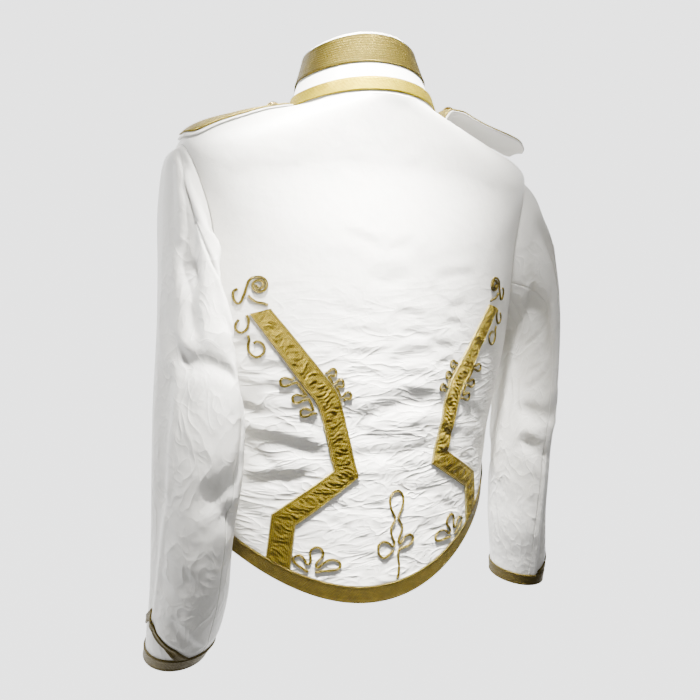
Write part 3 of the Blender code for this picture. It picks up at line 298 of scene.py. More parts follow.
def white_satin(name, crumple, creased=0.0, stretch=(14.0, 14.0, 40.0), smooth_above=-0.17, full_below=-0.30):
    """The cloth's finish. crumple and creased are the heights in metres of its faint unevenness
    and of its small creases, which fade out between the two heights on the garment."""
    finish = bpy.data.materials.new(name)
    finish.use_nodes = True
    tree = finish.node_tree
    shader = tree.nodes["Principled BSDF"]
    uv = uv_of(tree)
    weave = placed(tree, SATIN_WEAVE, Vector=uv, Thread=SATIN_THREAD)
    where = tree.nodes.new("ShaderNodeTexCoord").outputs["Object"]
    small = noise(tree, where, 46, 3.0, 0.5)
    normal = bumped(tree, small, crumple)
    if creased:
        folds = placed(tree, CRUMPLED_CLOTH, Vector=where, Stretch=stretch)
        place = tree.nodes.new("ShaderNodeSeparateXYZ")
        tree.links.new(where, place.inputs["Vector"])
        fade = tree.nodes.new("ShaderNodeMapRange")
        fade.inputs["From Min"].default_value = smooth_above
        fade.inputs["From Max"].default_value = full_below
        tree.links.new(place.outputs["Z"], fade.inputs["Value"])
        masked = maths(tree, "MULTIPLY", folds.outputs["Height"], fade.outputs["Result"])
        normal = bumped(tree, masked, creased, 1.0, normal)
    normal = bumped(tree, weave.outputs["Height"], 0.00006, 0.35, normal)
    tree.links.new(normal, shader.inputs["Normal"])
    tree.links.new(
        mixed(tree, weave.outputs["Shade"], SATIN_SHADE, SATIN_WHITE), shader.inputs["Base Color"]
    )
    rough = maths(tree, "ADD", maths(tree, "MULTIPLY", weave.outputs["Slub"], 0.16), 0.36)
    tree.links.new(rough, shader.inputs["Roughness"])
    shader.inputs["Specular IOR Level"].default_value = 0.42
    shader.inputs["Sheen Weight"].default_value = 0.12
    shader.inputs["Sheen Roughness"].default_value = 0.45
    return finish


BODY_SATIN = white_satin("white satin of the body", 0.0010, creased=0.0010)

# The body
# Back and two fronts, cut from white satin and sewn at the sides and shoulders. The left
# front laps over the right one, and the curved hem hangs lower behind and on the left.
CLOTH = 0.0020
SEAM_GAP = 0.0003
BODY_COLUMNS = (
    "ring", "z_side", "z_back", "z_front", "half_width", "axis_y",
    "back_depth", "front_depth", "square", "corner_dip",
)
BODY_RINGS = (
    ("hem", -0.437, -0.526, -0.500, 0.180, -0.028, 0.109, 0.086, 2.0, 0.000),
    ("waist", -0.375, -0.412, -0.410, 0.188, -0.028, 0.110, 0.086, 2.0, 0.000),
    ("ribs", -0.310, -0.330, -0.330, 0.196, -0.021, 0.105, 0.096, 2.1, 0.000),
    ("armpit", -0.240, -0.250, -0.256, 0.206, -0.013, 0.098, 0.103, 2.2, 0.000),
    ("armhole", -0.145, -0.150, -0.168, 0.208, -0.001, 0.085, 0.110, 2.4, 0.000),
    ("shoulder", -0.054, -0.060, -0.108, 0.208, 0.020, 0.052, 0.116, 3.0, 0.018),
    ("yoke", -0.019, -0.011, -0.064, 0.150, 0.012, 0.060, 0.100, 2.5, 0.008),
    ("neck", -0.002, 0.006, -0.048, 0.084, 0.000, 0.073, 0.068, 2.1, 0.000),
)
HEM, ARMPIT, ARMHOLE, SHOULDER, NECK = 0, 3, 4, 5, 7
ARMHOLE_BACK, ARMHOLE_FRONT = math.radians(30), math.radians(36)
LEFT_HEM_DROP = 0.075
FRONT_LAP, LAP_LIFT = 0.018, 0.0030
# Creases: from (x, z) to (x, z), half width and height; a minus is a trough.
BACK_CREASES = (
    (0.004, -0.264, -0.040, -0.260, 0.0069, -0.0015),
    (0.008, -0.273, -0.034, -0.275, 0.0069, -0.0020),
    (0.012, -0.281, -0.052, -0.285, 0.0063, 0.0015),
    (0.004, -0.291, -0.050, -0.299, 0.0075, -0.0023),
    (0.034, -0.302, -0.060, -0.307, 0.0075, 0.0016),
    (0.066, -0.311, 0.030, -0.320, 0.0081, -0.0020),
    (0.030, -0.320, -0.056, -0.321, 0.0088, -0.0027),
    (0.054, -0.326, 0.010, -0.346, 0.0088, -0.0026),
    (0.000, -0.336, -0.055, -0.334, 0.0088, 0.0019),
    (0.024, -0.356, -0.046, -0.358, 0.0081, -0.0020),
    (0.050, -0.364, 0.006, -0.372, 0.0100, -0.0024),
    (0.006, -0.372, -0.040, -0.385, 0.0106, -0.0027),
    (0.055, -0.383, -0.045, -0.397, 0.0100, 0.0019),
    (0.000, -0.400, -0.050, -0.412, 0.0094, -0.0020),
    (0.144, -0.338, 0.086, -0.361, 0.0080, -0.0042),
    (0.154, -0.322, 0.098, -0.340, 0.0080, 0.0028),
    (0.154, -0.348, 0.128, -0.376, 0.0065, -0.0028),
    (0.152, -0.370, 0.104, -0.366, 0.0070, 0.0026),
    (0.150, -0.388, 0.102, -0.382, 0.0075, -0.0034),
    (0.166, -0.300, 0.140, -0.312, 0.0070, -0.0030),
    (-0.102, -0.326, -0.134, -0.356, 0.0100, -0.0022),
    (-0.132, -0.376, -0.168, -0.412, 0.0100, -0.0020),
    (-0.118, -0.345, -0.150, -0.384, 0.0100, 0.0016),
    (-0.104, -0.385, -0.140, -0.418, 0.0088, -0.0015),
)
BACK_FINE_CREASES = (
    (0.058, -0.136, 0.028, -0.147, 0.0050, -0.0010),
    (0.060, -0.126, 0.020, -0.134, 0.0055, 0.0007),
    (0.009, -0.150, -0.017, -0.144, 0.0045, -0.0009),
    (0.031, -0.179, -0.004, -0.177, 0.0050, -0.0011),
    (0.035, -0.169, -0.010, -0.167, 0.0055, 0.0007),
    (-0.036, -0.188, -0.049, -0.193, 0.0045, -0.0010),
    (-0.049, -0.179, -0.093, -0.174, 0.0055, -0.0011),
    (-0.055, -0.169, -0.095, -0.164, 0.0055, 0.0007),
    (0.002, -0.215, -0.024, -0.219, 0.0050, -0.0013),
    (0.004, -0.206, -0.030, -0.209, 0.0050, 0.0008),
    (-0.008, -0.236, -0.030, -0.240, 0.0050, -0.0014),
    (-0.064, -0.209, -0.086, -0.205, 0.0050, -0.0013),
    (-0.060, -0.228, -0.084, -0.232, 0.0050, -0.0012),
    (0.070, -0.205, 0.030, -0.214, 0.0050, -0.0009),
    (0.066, -0.232, 0.022, -0.240, 0.0050, -0.0011),
    (0.058, -0.252, 0.016, -0.252, 0.0050, -0.0012),
    (0.052, -0.274, 0.022, -0.284, 0.0050, -0.0014),
    (-0.044, -0.246, -0.074, -0.252, 0.0050, -0.0013),
    (-0.050, -0.272, -0.072, -0.270, 0.0050, -0.0014),
    (-0.058, -0.345, -0.090, -0.350, 0.0055, -0.0014),
    (-0.052, -0.372, -0.086, -0.380, 0.0055, -0.0014),
    (0.071, -0.409, 0.056, -0.419, 0.0050, -0.0016),
    (0.034, -0.418, 0.016, -0.426, 0.0050, -0.0016),
    (-0.059, -0.423, -0.086, -0.442, 0.0060, -0.0016),
    (0.144, -0.269, 0.126, -0.265, 0.0055, -0.0018),
    (0.138, -0.282, 0.118, -0.290, 0.0055, -0.0014),
    (0.104, -0.318, 0.088, -0.333, 0.0050, -0.0016),
    (0.128, -0.404, 0.106, -0.398, 0.0050, -0.0012),
    (0.159, -0.414, 0.141, -0.428, 0.0060, -0.0016),
    (0.166, -0.440, 0.150, -0.470, 0.0060, -0.0012),
    (0.077, -0.430, 0.054, -0.443, 0.0060, -0.0014),
    (0.068, -0.458, 0.026, -0.474, 0.0060, -0.0014),
    (-0.030, -0.452, -0.062, -0.470, 0.0060, -0.0012),
    (-0.110, -0.250, -0.140, -0.262, 0.0070, -0.0014),
    (0.170, -0.255, 0.146, -0.240, 0.0070, -0.0014),
)
FRONT_CREASES = (
    (0.150, -0.330, 0.090, -0.352, 0.0090, -0.0034),
    (0.098, -0.356, 0.044, -0.368, 0.0085, -0.0032),
    (0.140, -0.312, 0.080, -0.330, 0.0090, 0.0024),
    (-0.040, -0.345, -0.096, -0.360, 0.0090, -0.0034),
    (-0.090, -0.366, -0.150, -0.384, 0.0085, -0.0030),
    (-0.060, -0.328, -0.130, -0.350, 0.0090, 0.0024),
    (0.130, -0.250, 0.076, -0.288, 0.0100, -0.0026),
    (-0.060, -0.260, -0.140, -0.290, 0.0100, -0.0026),
)
FRONT_FINE_CREASES = (
    (0.150, -0.215, 0.095, -0.240, 0.006, -0.0010),
    (0.120, -0.285, 0.030, -0.300, 0.006, 0.0010),
    (0.140, -0.350, 0.070, -0.344, 0.006, -0.0012),
    (0.120, -0.395, 0.035, -0.412, 0.006, 0.0010),
    (-0.150, -0.220, -0.090, -0.243, 0.006, -0.0010),
    (-0.110, -0.310, -0.040, -0.318, 0.006, 0.0010),
    (-0.130, -0.352, -0.060, -0.366, 0.006, -0.0012),
    (-0.120, -0.405, -0.050, -0.420, 0.006, 0.0010),
)


def column(rows, names, wanted):
    """One named column of a table of rows."""
    return np.array([row[names.index(wanted)] for row in rows])


def along(values, level):
    """A cubic between each two rows, whose slope at a row is the harmonic mean of the two
    steps beside it, or 0 where they differ in sign."""
    step = np.diff(values)
    slope = np.zeros(len(values))
    slope[0], slope[-1] = step[0], step[-1]
    same = step[:-1] * step[1:] > 0
    product = np.where(same, 2 * step[:-1] * step[1:], 0)
    slope[1:-1] = product / np.where(same, step[:-1] + step[1:], 1)
    level = np.clip(level, 0, len(values) - 1)
    low = np.minimum(level.astype(int), len(values) - 2)
    f = level - low
    return (
        (2 * f**3 - 3 * f**2 + 1) * values[low]
        + (f**3 - 2 * f**2 + f) * slope[low]
        + (3 * f**2 - 2 * f**3) * values[low + 1]
        + (f**3 - f**2) * slope[low + 1]
    )


BODY = {name: column(BODY_RINGS, BODY_COLUMNS, name) for name in BODY_COLUMNS[1:]}


def creases(table, a, b, tapered=False):
    """Sum over the rows of height times exp(-d²/half width²), where d is the distance from
    the straight line between the row's two places. A tapered crease bows by a tenth of its
    run, fades towards its ends with the sine's power 0.7, and is steeper on its upper side."""
    total = np.zeros(np.broadcast(a, b).shape)
    for number, (a_start, b_start, a_end, b_end, half_width, height) in enumerate(table):
        run = np.hypot(a_end - a_start, b_end - b_start)
        far_a, far_b = (a_end - a_start) / run, (b_end - b_start) / run
        ahead = (a - a_start) * far_a + (b - b_start) * far_b
        aside = (b - b_start) * far_a - (a - a_start) * far_b
        if not tapered:
            past = np.maximum(np.maximum(-ahead, ahead - run), 0)
            total = total + height * np.exp(-(aside**2 + past**2) / half_width**2)
            continue
        share = np.clip((ahead + 0.2 * run) / (1.4 * run), 0, 1)
        bow = 0.1 * run * (-1) ** number * np.sin(np.pi * share)
        up = (aside + bow) * np.sign(far_a)
        steep = np.where(up * np.sign(-height) > 0, 0.75, 1.35)
        fade = np.sin(np.pi * share) ** 0.7
        total = total + height * fade * np.exp(-((up / (half_width * steep)) ** 2))
    return total


def signed_power(value, power):
    """The value's size to this power, with its sign kept."""
    return np.sign(value) * np.abs(value) ** power


def body(turn, level, creased=True):
    """Rings of rounded oblongs: x and y are the cosine and sine of the turn, each to the
    power 2/square, times the ring's half width and depth, and z runs from the side's height
    to the middle's with sin². Creases shift y."""
    turn, level = np.broadcast_arrays(np.asarray(turn, float), np.asarray(level, float))
    size = {name: along(values, level) for name, values in BODY.items()}
    across, out = np.cos(turn), np.sin(turn)
    depth = np.where(out > 0, size["back_depth"], size["front_depth"])
    middle = np.where(out > 0, size["z_back"], size["z_front"])
    power = 2 / size["square"]
    x = size["half_width"] * signed_power(across, power)
    y = size["axis_y"] + depth * signed_power(out, power)
    z = size["z_side"] + (middle - size["z_side"]) * out**2
    z = z - size["corner_dip"] * np.sin(2 * turn) ** 2
    z = z - LEFT_HEM_DROP * x * np.clip(1 - level / 2, 0, 1)
    if creased:
        rise = np.where(
            out > 0,
            creases(BACK_CREASES + BACK_FINE_CREASES, x, z, True),
            creases(FRONT_CREASES + FRONT_FINE_CREASES, x, z, True),
        )
        y = y + np.sign(out) * rise * np.clip(1.6 * np.abs(out), 0, 1)
    return np.stack([x, y, z], axis=-1)


def unit(vectors):
    """Each vector over its length."""
    return vectors / np.maximum(np.linalg.norm(vectors, axis=-1, keepdims=True), 1e-12)


def normals(surface, a, b, step=1e-3):
    """Unit cross product of the surface's small steps in its two parameters."""
    along_a = surface(a + step, b) - surface(a - step, b)
    along_b = surface(a, b + step) - surface(a, b - step)
    return unit(np.cross(along_a, along_b))


def near_ends(values, steps):
    """The values with extra ones close to each end, for a rolled edge."""
    steps = np.array(steps) * (values[-1] - values[0])
    inner = values[(values > values[0] + steps[-1] * 1.3) & (values < values[-1] - steps[-1] * 1.3)]
    return np.concatenate([[values[0]], values[0] + steps, inner, (values[-1] - steps)[::-1], [values[-1]]])


ROLLED = np.array([0.00060, 0.00022, 0.00004])


def rolled_edges(rows, columns, row_ends=(True, True), column_ends=(True, True)):
    """How far each point of a wall's face sinks towards its middle: the roll's depths on
    the outermost rows and columns, and 0 elsewhere."""
    sunk = np.zeros((rows, columns))
    for i, depth in enumerate(ROLLED):
        if row_ends[0]:
            sunk[i] = np.maximum(sunk[i], depth)
        if row_ends[1]:
            sunk[-1 - i] = np.maximum(sunk[-1 - i], depth)
        if column_ends[0]:
            sunk[:, i] = np.maximum(sunk[:, i], depth)
        if column_ends[1]:
            sunk[:, -1 - i] = np.maximum(sunk[:, -1 - i], depth)
    return sunk


def lengths(points, axis):
    """Summed distances between neighbours along one axis of a grid, from 0."""
    step = np.linalg.norm(np.diff(points, axis=axis), axis=-1)
    start = np.zeros_like(np.take(step, [0], axis=axis))
    return np.concatenate([start, np.cumsum(step, axis=axis)], axis=axis)


def new_wall(name, outer, inner, finish, uv=None, closed=False):
    """A closed wall between two grids of points with its rims, as one object. The UV map is
    in metres: summed distances along the rows and columns, unless it is given."""
    rows, columns = outer.shape[:2]
    if uv is None:
        ring = np.concatenate([outer, outer[:, :1]], axis=1) if closed else outer
        uv = np.stack([lengths(ring, 1), lengths(ring, 0)], axis=-1)
    spots = np.arange(rows * columns).reshape(rows, columns)
    marks = np.arange(rows * uv.shape[1]).reshape(rows, -1)
    if closed:
        spots = np.concatenate([spots, spots[:, :1]], axis=1)
    under = spots + rows * columns

    def strip(a, b, c, d):
        return np.stack([a, b, c, d], axis=-1).reshape(-1, 4)

    def quads(top, low):
        made = [strip(top[:-1, :-1], top[:-1, 1:], top[1:, 1:], top[1:, :-1]),
                strip(low[:-1, :-1], low[1:, :-1], low[1:, 1:], low[:-1, 1:]),
                strip(low[0, :-1], low[0, 1:], top[0, 1:], top[0, :-1]),
                strip(top[-1, :-1], top[-1, 1:], low[-1, 1:], low[-1, :-1])]
        if not closed:
            made += [strip(top[:-1, 0], top[1:, 0], low[1:, 0], low[:-1, 0]),
                     strip(top[:-1, -1], low[:-1, -1], low[1:, -1], top[1:, -1])]
        return np.concatenate(made)

    faces, corners = quads(spots, under), quads(marks, marks)
    points = np.concatenate([outer.reshape(-1, 3), inner.reshape(-1, 3)])
    first, second, third = points[faces[:, 0]], points[faces[:, 1]], points[faces[:, 2]]
    fourth = points[faces[:, 3]]
    volume = np.einsum("ij,ij->i", first, np.cross(second, third)).sum()
    volume += np.einsum("ij,ij->i", first, np.cross(third, fourth)).sum()
    if volume < 0:
        faces, corners = faces[:, ::-1], corners[:, ::-1]
    mesh = bpy.data.meshes.new(name)
    mesh.from_pydata(points.tolist(), [], faces.tolist())
    layer = mesh.uv_layers.new(name="cloth")
    layer.data.foreach_set("uv", uv.reshape(-1, 2)[corners.reshape(-1)].astype(np.float32).ravel())
    mesh.materials.append(finish)
    mesh.shade_smooth()
    mesh.set_sharp_from_angle(angle=math.radians(50))
    made = bpy.data.objects.new(name, mesh)
    bpy.context.scene.collection.objects.link(made)
    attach(made, "root")
    return made


FINE_ROWS, FINE_COLUMNS = 8, 8
ARMHOLE_STEPS, STEPS_BELOW_ARMPIT, STEPS_ABOVE_SHOULDER = 8, 12, 4
BACK_STEPS, FRONT_STEPS = 22, 7


def panel_levels():
    """Even steps below the armpit and above the shoulder, and cosine steps between them."""
    below = np.linspace(HEM, ARMPIT, STEPS_BELOW_ARMPIT * FINE_ROWS + 1)
    count = ARMHOLE_STEPS * FINE_ROWS
    beside = ARMHOLE - np.cos(np.pi * np.arange(1, count) / count)
    above = np.linspace(SHOULDER, NECK, STEPS_ABOVE_SHOULDER * FINE_ROWS + 1)
    return near_ends(np.concatenate([below, beside, above]), (0.0002, 0.0006, 0.0013))


def armhole_reach(level, reach):
    """The armhole's edge as a turn: reach times the height of a half circle at this level."""
    return reach * np.sqrt(np.clip(1 - (level - ARMHOLE) ** 2, 0, 1))


def turn_per_metre(turn, level):
    """How much turn a metre along the ring takes at this place."""
    step = 1e-3
    ahead, behind = body(turn + step, level, False), body(turn - step, level, False)
    return 2 * step / np.linalg.norm(ahead - behind, axis=-1)


def lap(turn):
    """How far the left front stands off near its edge: a smooth step up over 9 degrees."""
    near = np.clip((-turn - math.radians(76)) / math.radians(9), 0, 1)
    return LAP_LIFT * near**2 * (3 - 2 * near)


def panel(name, node, start, end, steps, lift=None):
    """The body's points between two turns that depend on the level. Columns give way most
    beside the armhole, by the power 1.6 of their share."""
    level = panel_levels()[:, None]
    even = np.linspace(0, 1, steps * FINE_COLUMNS + 1)
    share = near_ends(even, (0.0006, 0.002, 0.0045))[None, :]
    first, last = start(level), end(level)
    low, high = first[:1], last[:1]
    turn = low + (high - low) * share
    turn = turn + (first - low) * (1 - share) ** 1.6 + (last - high) * share**1.6
    turn = turn + SEAM_GAP / 2 * turn_per_metre(first, level) * (1 - 2 * share)
    level = level + 0 * turn
    normal = normals(body, turn, level)
    outer = body(turn, level)
    if lift is not None:
        outer = outer + normal * lift(turn)[..., None]
    sunk = rolled_edges(*turn.shape)[..., None]
    made = new_wall(name, outer - normal * sunk, outer - normal * (CLOTH - sunk), BODY_SATIN)
    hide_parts(node)
    return made


back = panel(
    "back_cloth", "back",
    lambda level: armhole_reach(level, ARMHOLE_BACK),
    lambda level: np.pi - armhole_reach(level, ARMHOLE_BACK),
    BACK_STEPS,
)
left_front = panel(
    "left_front_cloth", "left_front",
    lambda level: -np.pi / 2 - FRONT_LAP * turn_per_metre(-np.pi / 2, level),
    lambda level: -armhole_reach(level, ARMHOLE_FRONT),
    FRONT_STEPS, lap,
)
right_front = panel(
    "right_front_cloth", "right_front",
    lambda level: np.pi + armhole_reach(level, ARMHOLE_FRONT),
    lambda level: 3 * np.pi / 2 + 0 * level,
    FRONT_STEPS,
)

# The sleeves
# Two-piece sleeves, set into the armholes, slack from the shoulder to the elbow and
# slightly tapered to the cuff. The folds hang from the sleeve's head and break at the elbow.
SLEEVE_SEAM_GAP, ARMHOLE_GAP = 0.0005, 0.0060
SLEEVE_COLUMNS = (
    "ring", "outer_x", "outer_z", "inner_x", "inner_z", "axis_y", "half_depth", "square",
)
SLEEVE_RINGS = (
    ("armhole", 0.208, -0.054, 0.206, -0.240, -0.008, 0.060, 2.2),
    ("head", 0.218, -0.062, 0.209, -0.247, 0.002, 0.064, 2.2),
    ("cap", 0.223, -0.090, 0.209, -0.260, 0.014, 0.066, 2.2),
    ("upper arm", 0.228, -0.150, 0.206, -0.282, 0.026, 0.064, 2.1),
    ("biceps", 0.235, -0.225, 0.199, -0.312, 0.036, 0.061, 2.0),
    ("above elbow", 0.244, -0.310, 0.188, -0.352, 0.043, 0.057, 2.0),
    ("elbow", 0.248, -0.395, 0.180, -0.405, 0.045, 0.053, 2.0),
    ("forearm", 0.250, -0.475, 0.180, -0.477, 0.041, 0.048, 2.0),
    ("wrist", 0.252, -0.540, 0.188, -0.538, 0.033, 0.041, 2.0),
    ("cuff", 0.252, -0.572, 0.192, -0.570, 0.029, 0.037, 2.0),
)
CUFF, ELBOW_RING = 9, 5
ARMHOLE_BLEND = 2.4
HIND_SEAM, FORE_SEAM, SLEEVE_STEPS = 5, 12, 16
SIDES = (("left", 1.0), ("right", -1.0))
MIRROR = dict(SIDES)
FORWARD = {"left": 0.034, "right": 0.004}
OUTER_SHIFT = {
    "left": (0, 0, 0, 0, 0, 0, 0, 0, 0.001, 0.001),
    "right": (0, 0.001, 0.003, 0.003, -0.002, -0.012, -0.017, -0.012, -0.004, 0),
}
# How far the hind side of the sleeve leans inwards, ring by ring.
BACK_LEAN = {
    "left": (0, 0.012, 0.026, 0.032, 0.033, 0.025, 0.012, 0.004, 0.001, 0),
    "right": (0, 0, 0, 0, 0, 0, 0, 0, 0, 0),
}
LEAN_INWARD = 0.7
INNER_SHIFT = {
    "left": (0, 0, 0, 0, 0, 0, 0, -0.004, -0.009, -0.001),
    "right": (0, 0, 0, 0, 0, 0, 0, 0, 0, 0),
}
GIRTH, RING_HEIGHT = 0.300, 0.058
# Folds: share of the way round and ring, at each end, half width and height.
SLEEVE_FOLDS = {
    "left": (
        (0.080, 0.50, 0.130, 1.80, 0.0120, -0.0092),
        (0.130, 1.80, 0.115, 3.10, 0.0100, -0.0083),
        (0.115, 3.10, 0.135, 3.80, 0.0085, -0.0043),
        (0.180, 0.80, 0.225, 1.80, 0.0100, 0.0050),
        (0.225, 1.80, 0.270, 2.95, 0.0100, 0.0048),
        (0.262, 1.00, 0.285, 2.40, 0.0110, -0.0083),
        (0.285, 2.40, 0.320, 3.60, 0.0110, -0.0073),
        (0.320, 3.60, 0.325, 5.10, 0.0110, -0.0049),
        (0.010, 3.90, 0.098, 4.20, 0.0070, -0.0030),
        (0.115, 4.24, 0.245, 3.94, 0.0070, -0.0054),
        (0.115, 4.05, 0.245, 3.36, 0.0070, 0.0022),
        (0.062, 4.60, 0.056, 5.80, 0.0110, -0.0030),
        (0.056, 5.80, 0.008, 7.60, 0.0110, -0.0026),
        (0.215, 5.70, 0.310, 5.40, 0.0110, -0.0063),
        (0.230, 5.72, 0.320, 6.00, 0.0100, -0.0049),
        (0.58, 2.8, 0.64, 5.4, 0.013, -0.0030),
        (0.66, 6.0, 0.82, 6.6, 0.013, -0.0055),
    ),
    "right": (
        (0.10, 1.6, 0.14, 4.6, 0.012, -0.0061),
        (0.200, 0.90, 0.240, 3.30, 0.0100, -0.0061),
        (0.275, 0.90, 0.305, 3.30, 0.0100, 0.0034),
        (0.345, 1.00, 0.360, 3.20, 0.0100, -0.0059),
        (0.305, 3.30, 0.290, 4.60, 0.0100, 0.0030),
        (0.235, 3.30, 0.225, 4.60, 0.0110, -0.0049),
        (0.430, 4.75, 0.290, 5.15, 0.0100, -0.0061),
        (0.430, 5.30, 0.260, 5.25, 0.0090, 0.0036),
        (0.410, 5.52, 0.300, 5.88, 0.0075, -0.0056),
        (0.255, 5.90, 0.240, 8.30, 0.0110, -0.0026),
        (0.076, 5.6, 0.076, 6.6, 0.045, -0.0090),
        (0.04, 4.6, 0.16, 5.3, 0.012, -0.0030),
        (0.58, 2.8, 0.64, 5.4, 0.013, -0.0030),
        (0.66, 6.0, 0.82, 6.6, 0.013, -0.0055),
    ),
}
SLEEVE_FINE_FOLDS = {
    "left": (
        (0.160, 2.20, 0.215, 2.40, 0.0050, -0.0020),
        (0.095, 4.60, 0.085, 5.70, 0.0050, 0.0018),
        (0.085, 5.70, 0.034, 7.60, 0.0050, 0.0018),
        (0.220, 6.12, 0.300, 5.95, 0.0055, -0.0020),
        (0.190, 7.42, 0.302, 8.05, 0.0060, 0.0018),
        (0.150, 7.50, 0.260, 8.12, 0.0060, -0.0016),
        (0.090, 7.60, 0.210, 7.96, 0.0060, 0.0018),
        (0.060, 7.70, 0.160, 8.10, 0.0060, -0.0014),
        (0.130, 4.70, 0.200, 4.95, 0.0055, -0.0012),
        (0.120, 5.20, 0.190, 5.30, 0.0055, -0.0011),
        (0.110, 6.40, 0.220, 6.60, 0.0055, 0.0012),
        (0.080, 6.90, 0.190, 6.80, 0.0055, -0.0012),
        (0.040, 1.40, 0.060, 2.90, 0.0060, -0.0016),
        (0.45, 6.5, 0.62, 6.0, 0.006, 0.0012),
        (0.70, 5.2, 0.86, 5.6, 0.006, -0.0012),
        (0.78, 1.2, 0.84, 3.4, 0.008, -0.0025),
    ),
    "right": (
        (0.290, 2.05, 0.420, 2.35, 0.0055, -0.0020),
        (0.280, 3.25, 0.410, 3.55, 0.0055, -0.0020),
        (0.310, 2.60, 0.400, 2.80, 0.0050, 0.0012),
        (0.350, 3.90, 0.430, 4.10, 0.0055, -0.0016),
        (0.285, 5.95, 0.275, 8.40, 0.0050, 0.0020),
        (0.345, 7.05, 0.305, 7.35, 0.0045, 0.0014),
        (0.330, 6.30, 0.420, 6.15, 0.0055, -0.0012),
        (0.340, 6.70, 0.420, 6.60, 0.0055, -0.0012),
        (0.330, 7.70, 0.420, 7.80, 0.0055, -0.0011),
        (0.22, 7.9, 0.08, 7.6, 0.005, 0.0009),
        (0.45, 6.5, 0.62, 6.0, 0.006, 0.0012),
        (0.70, 5.2, 0.86, 5.6, 0.006, -0.0012),
        (0.78, 1.2, 0.84, 3.4, 0.008, -0.0025),
    ),
}
SLEEVE = {name: column(SLEEVE_RINGS, SLEEVE_COLUMNS, name) for name in SLEEVE_COLUMNS[1:]}


def armhole_edge(side, place):
    """Turn and level on the body of the armhole's edge, just inside the body's own: a circle
    in turn and level, with one reach behind and another in front."""
    angle = 2 * np.pi * place
    reach = np.where(np.sin(angle) > 0, ARMHOLE_BACK, ARMHOLE_FRONT)
    turn = reach * np.sin(angle) * (1 - ARMHOLE_GAP)
    level = ARMHOLE + np.cos(angle) * (1 - ARMHOLE_GAP)
    return (turn if side == "left" else np.pi - turn), level


def sleeve_tube(side, place, level):
    """Slanting rounded oblongs between the table's outer and inner lines. The lean moves their
    hind side in, least where it is outermost."""
    size = {name: along(values, level) for name, values in SLEEVE.items()}
    outer_x = size["outer_x"] + along(np.array(OUTER_SHIFT[side], float), level)
    inner_x = size["inner_x"] + along(np.array(INNER_SHIFT[side], float), level)
    angle, power = 2 * np.pi * place, 2 / size["square"]
    over, behind = signed_power(np.cos(angle), power), signed_power(np.sin(angle), power)
    x = (outer_x + inner_x) / 2 + (outer_x - inner_x) / 2 * over
    lean = along(np.array(BACK_LEAN[side], float), level)
    x = x - lean * np.clip(behind, 0, 1) * (1 - LEAN_INWARD * over)
    z = (size["outer_z"] + size["inner_z"]) / 2 + (size["outer_z"] - size["inner_z"]) / 2 * over
    return np.stack([x, size["axis_y"] + size["half_depth"] * behind, z], axis=-1)


def plain_sleeve(side, place, level):
    """The tube plus its distance from the armhole's edge, which dies out as the square of
    the share left of the blend. The forearm swings forward by the power 1.5."""
    place, level = np.broadcast_arrays(np.asarray(place, float), np.asarray(level, float))
    edge = body(*armhole_edge(side, place)) * np.array([MIRROR[side], 1, 1])
    off = edge - sleeve_tube(side, place, np.zeros_like(place))
    keep = np.clip(1 - level / ARMHOLE_BLEND, 0, 1) ** 2
    points = sleeve_tube(side, place, level) + off * keep[..., None]
    points[..., 1] -= FORWARD[side] * np.clip((level - ELBOW_RING) / 4, 0, 1) ** 1.5
    return points


def sleeve(side, place, level):
    """The plain sleeve moved out along its normal by the folds at this way round and down."""
    place, level = np.broadcast_arrays(np.asarray(place, float), np.asarray(level, float))
    smooth_sleeve = plain_sleeve(side, place, level)
    outward = -normals(lambda a, b: plain_sleeve(side, a, b), place, level)
    table = [
        (a * GIRTH, b * RING_HEIGHT, c * GIRTH, d * RING_HEIGHT, half_width, height)
        for a, b, c, d, half_width, height in SLEEVE_FOLDS[side] + SLEEVE_FINE_FOLDS[side]
    ]
    total = creases(table, np.mod(place + 0.2, 1) * GIRTH - 0.2 * GIRTH, level * RING_HEIGHT)
    return smooth_sleeve + outward * (total * np.clip(level / 1.2, 0, 1))[..., None]


SLEEVE_SATIN = white_satin("white satin of the sleeves", 0.0012, 0.0010, (24.0, 24.0, 16.0), -0.08, -0.16)

# Rows down the sleeve, and columns in each step round it; the hidden under sleeve has fewer.
SLEEVE_GRID = {"top_sleeve": (137, 14), "under_sleeve": (91, 10)}


def sleeve_piece(side, part, first, last):
    """A share of the sleeve's way round, on rows that grow towards the cuff."""
    rows, fine = SLEEVE_GRID[part]
    share = np.linspace(0, 1, rows)
    level = near_ends(CUFF * (0.62 * share + 0.38 * share**2), (0.0003, 0.001, 0.0022))[:, None]
    steps = np.linspace(first, last, (last - first) * fine + 1)
    place = near_ends(steps / SLEEVE_STEPS, (0.0012, 0.004, 0.009))[None, :] + 0 * level
    level = level + 0 * place

    def surface(a, b):
        return sleeve(side, a, b)

    girth = np.linalg.norm(surface(place + 1e-3, level) - surface(place - 1e-3, level), axis=-1)
    inset = SLEEVE_SEAM_GAP / 2 * 2e-3 / girth
    spread = np.linspace(1, -1, place.shape[1])[None, :]
    place = place + inset * spread
    outer, outward = surface(place, level), -normals(surface, place, level)
    mirror = np.array([MIRROR[side], 1, 1])
    sunk = rolled_edges(*place.shape)[..., None]
    made = new_wall(
        f"{side}_{part}_cloth",
        (outer - outward * sunk) * mirror,
        (outer - outward * (CLOTH - sunk)) * mirror,
        SLEEVE_SATIN,
    )
    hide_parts(f"{side}_{part}")
    return made


sleeve_cloth = {}
for side, mirror in SIDES:
    top = sleeve_piece(side, "top_sleeve", FORE_SEAM - SLEEVE_STEPS, HIND_SEAM)
    under = sleeve_piece(side, "under_sleeve", HIND_SEAM, FORE_SEAM)
    sleeve_cloth[side] = (top, under)

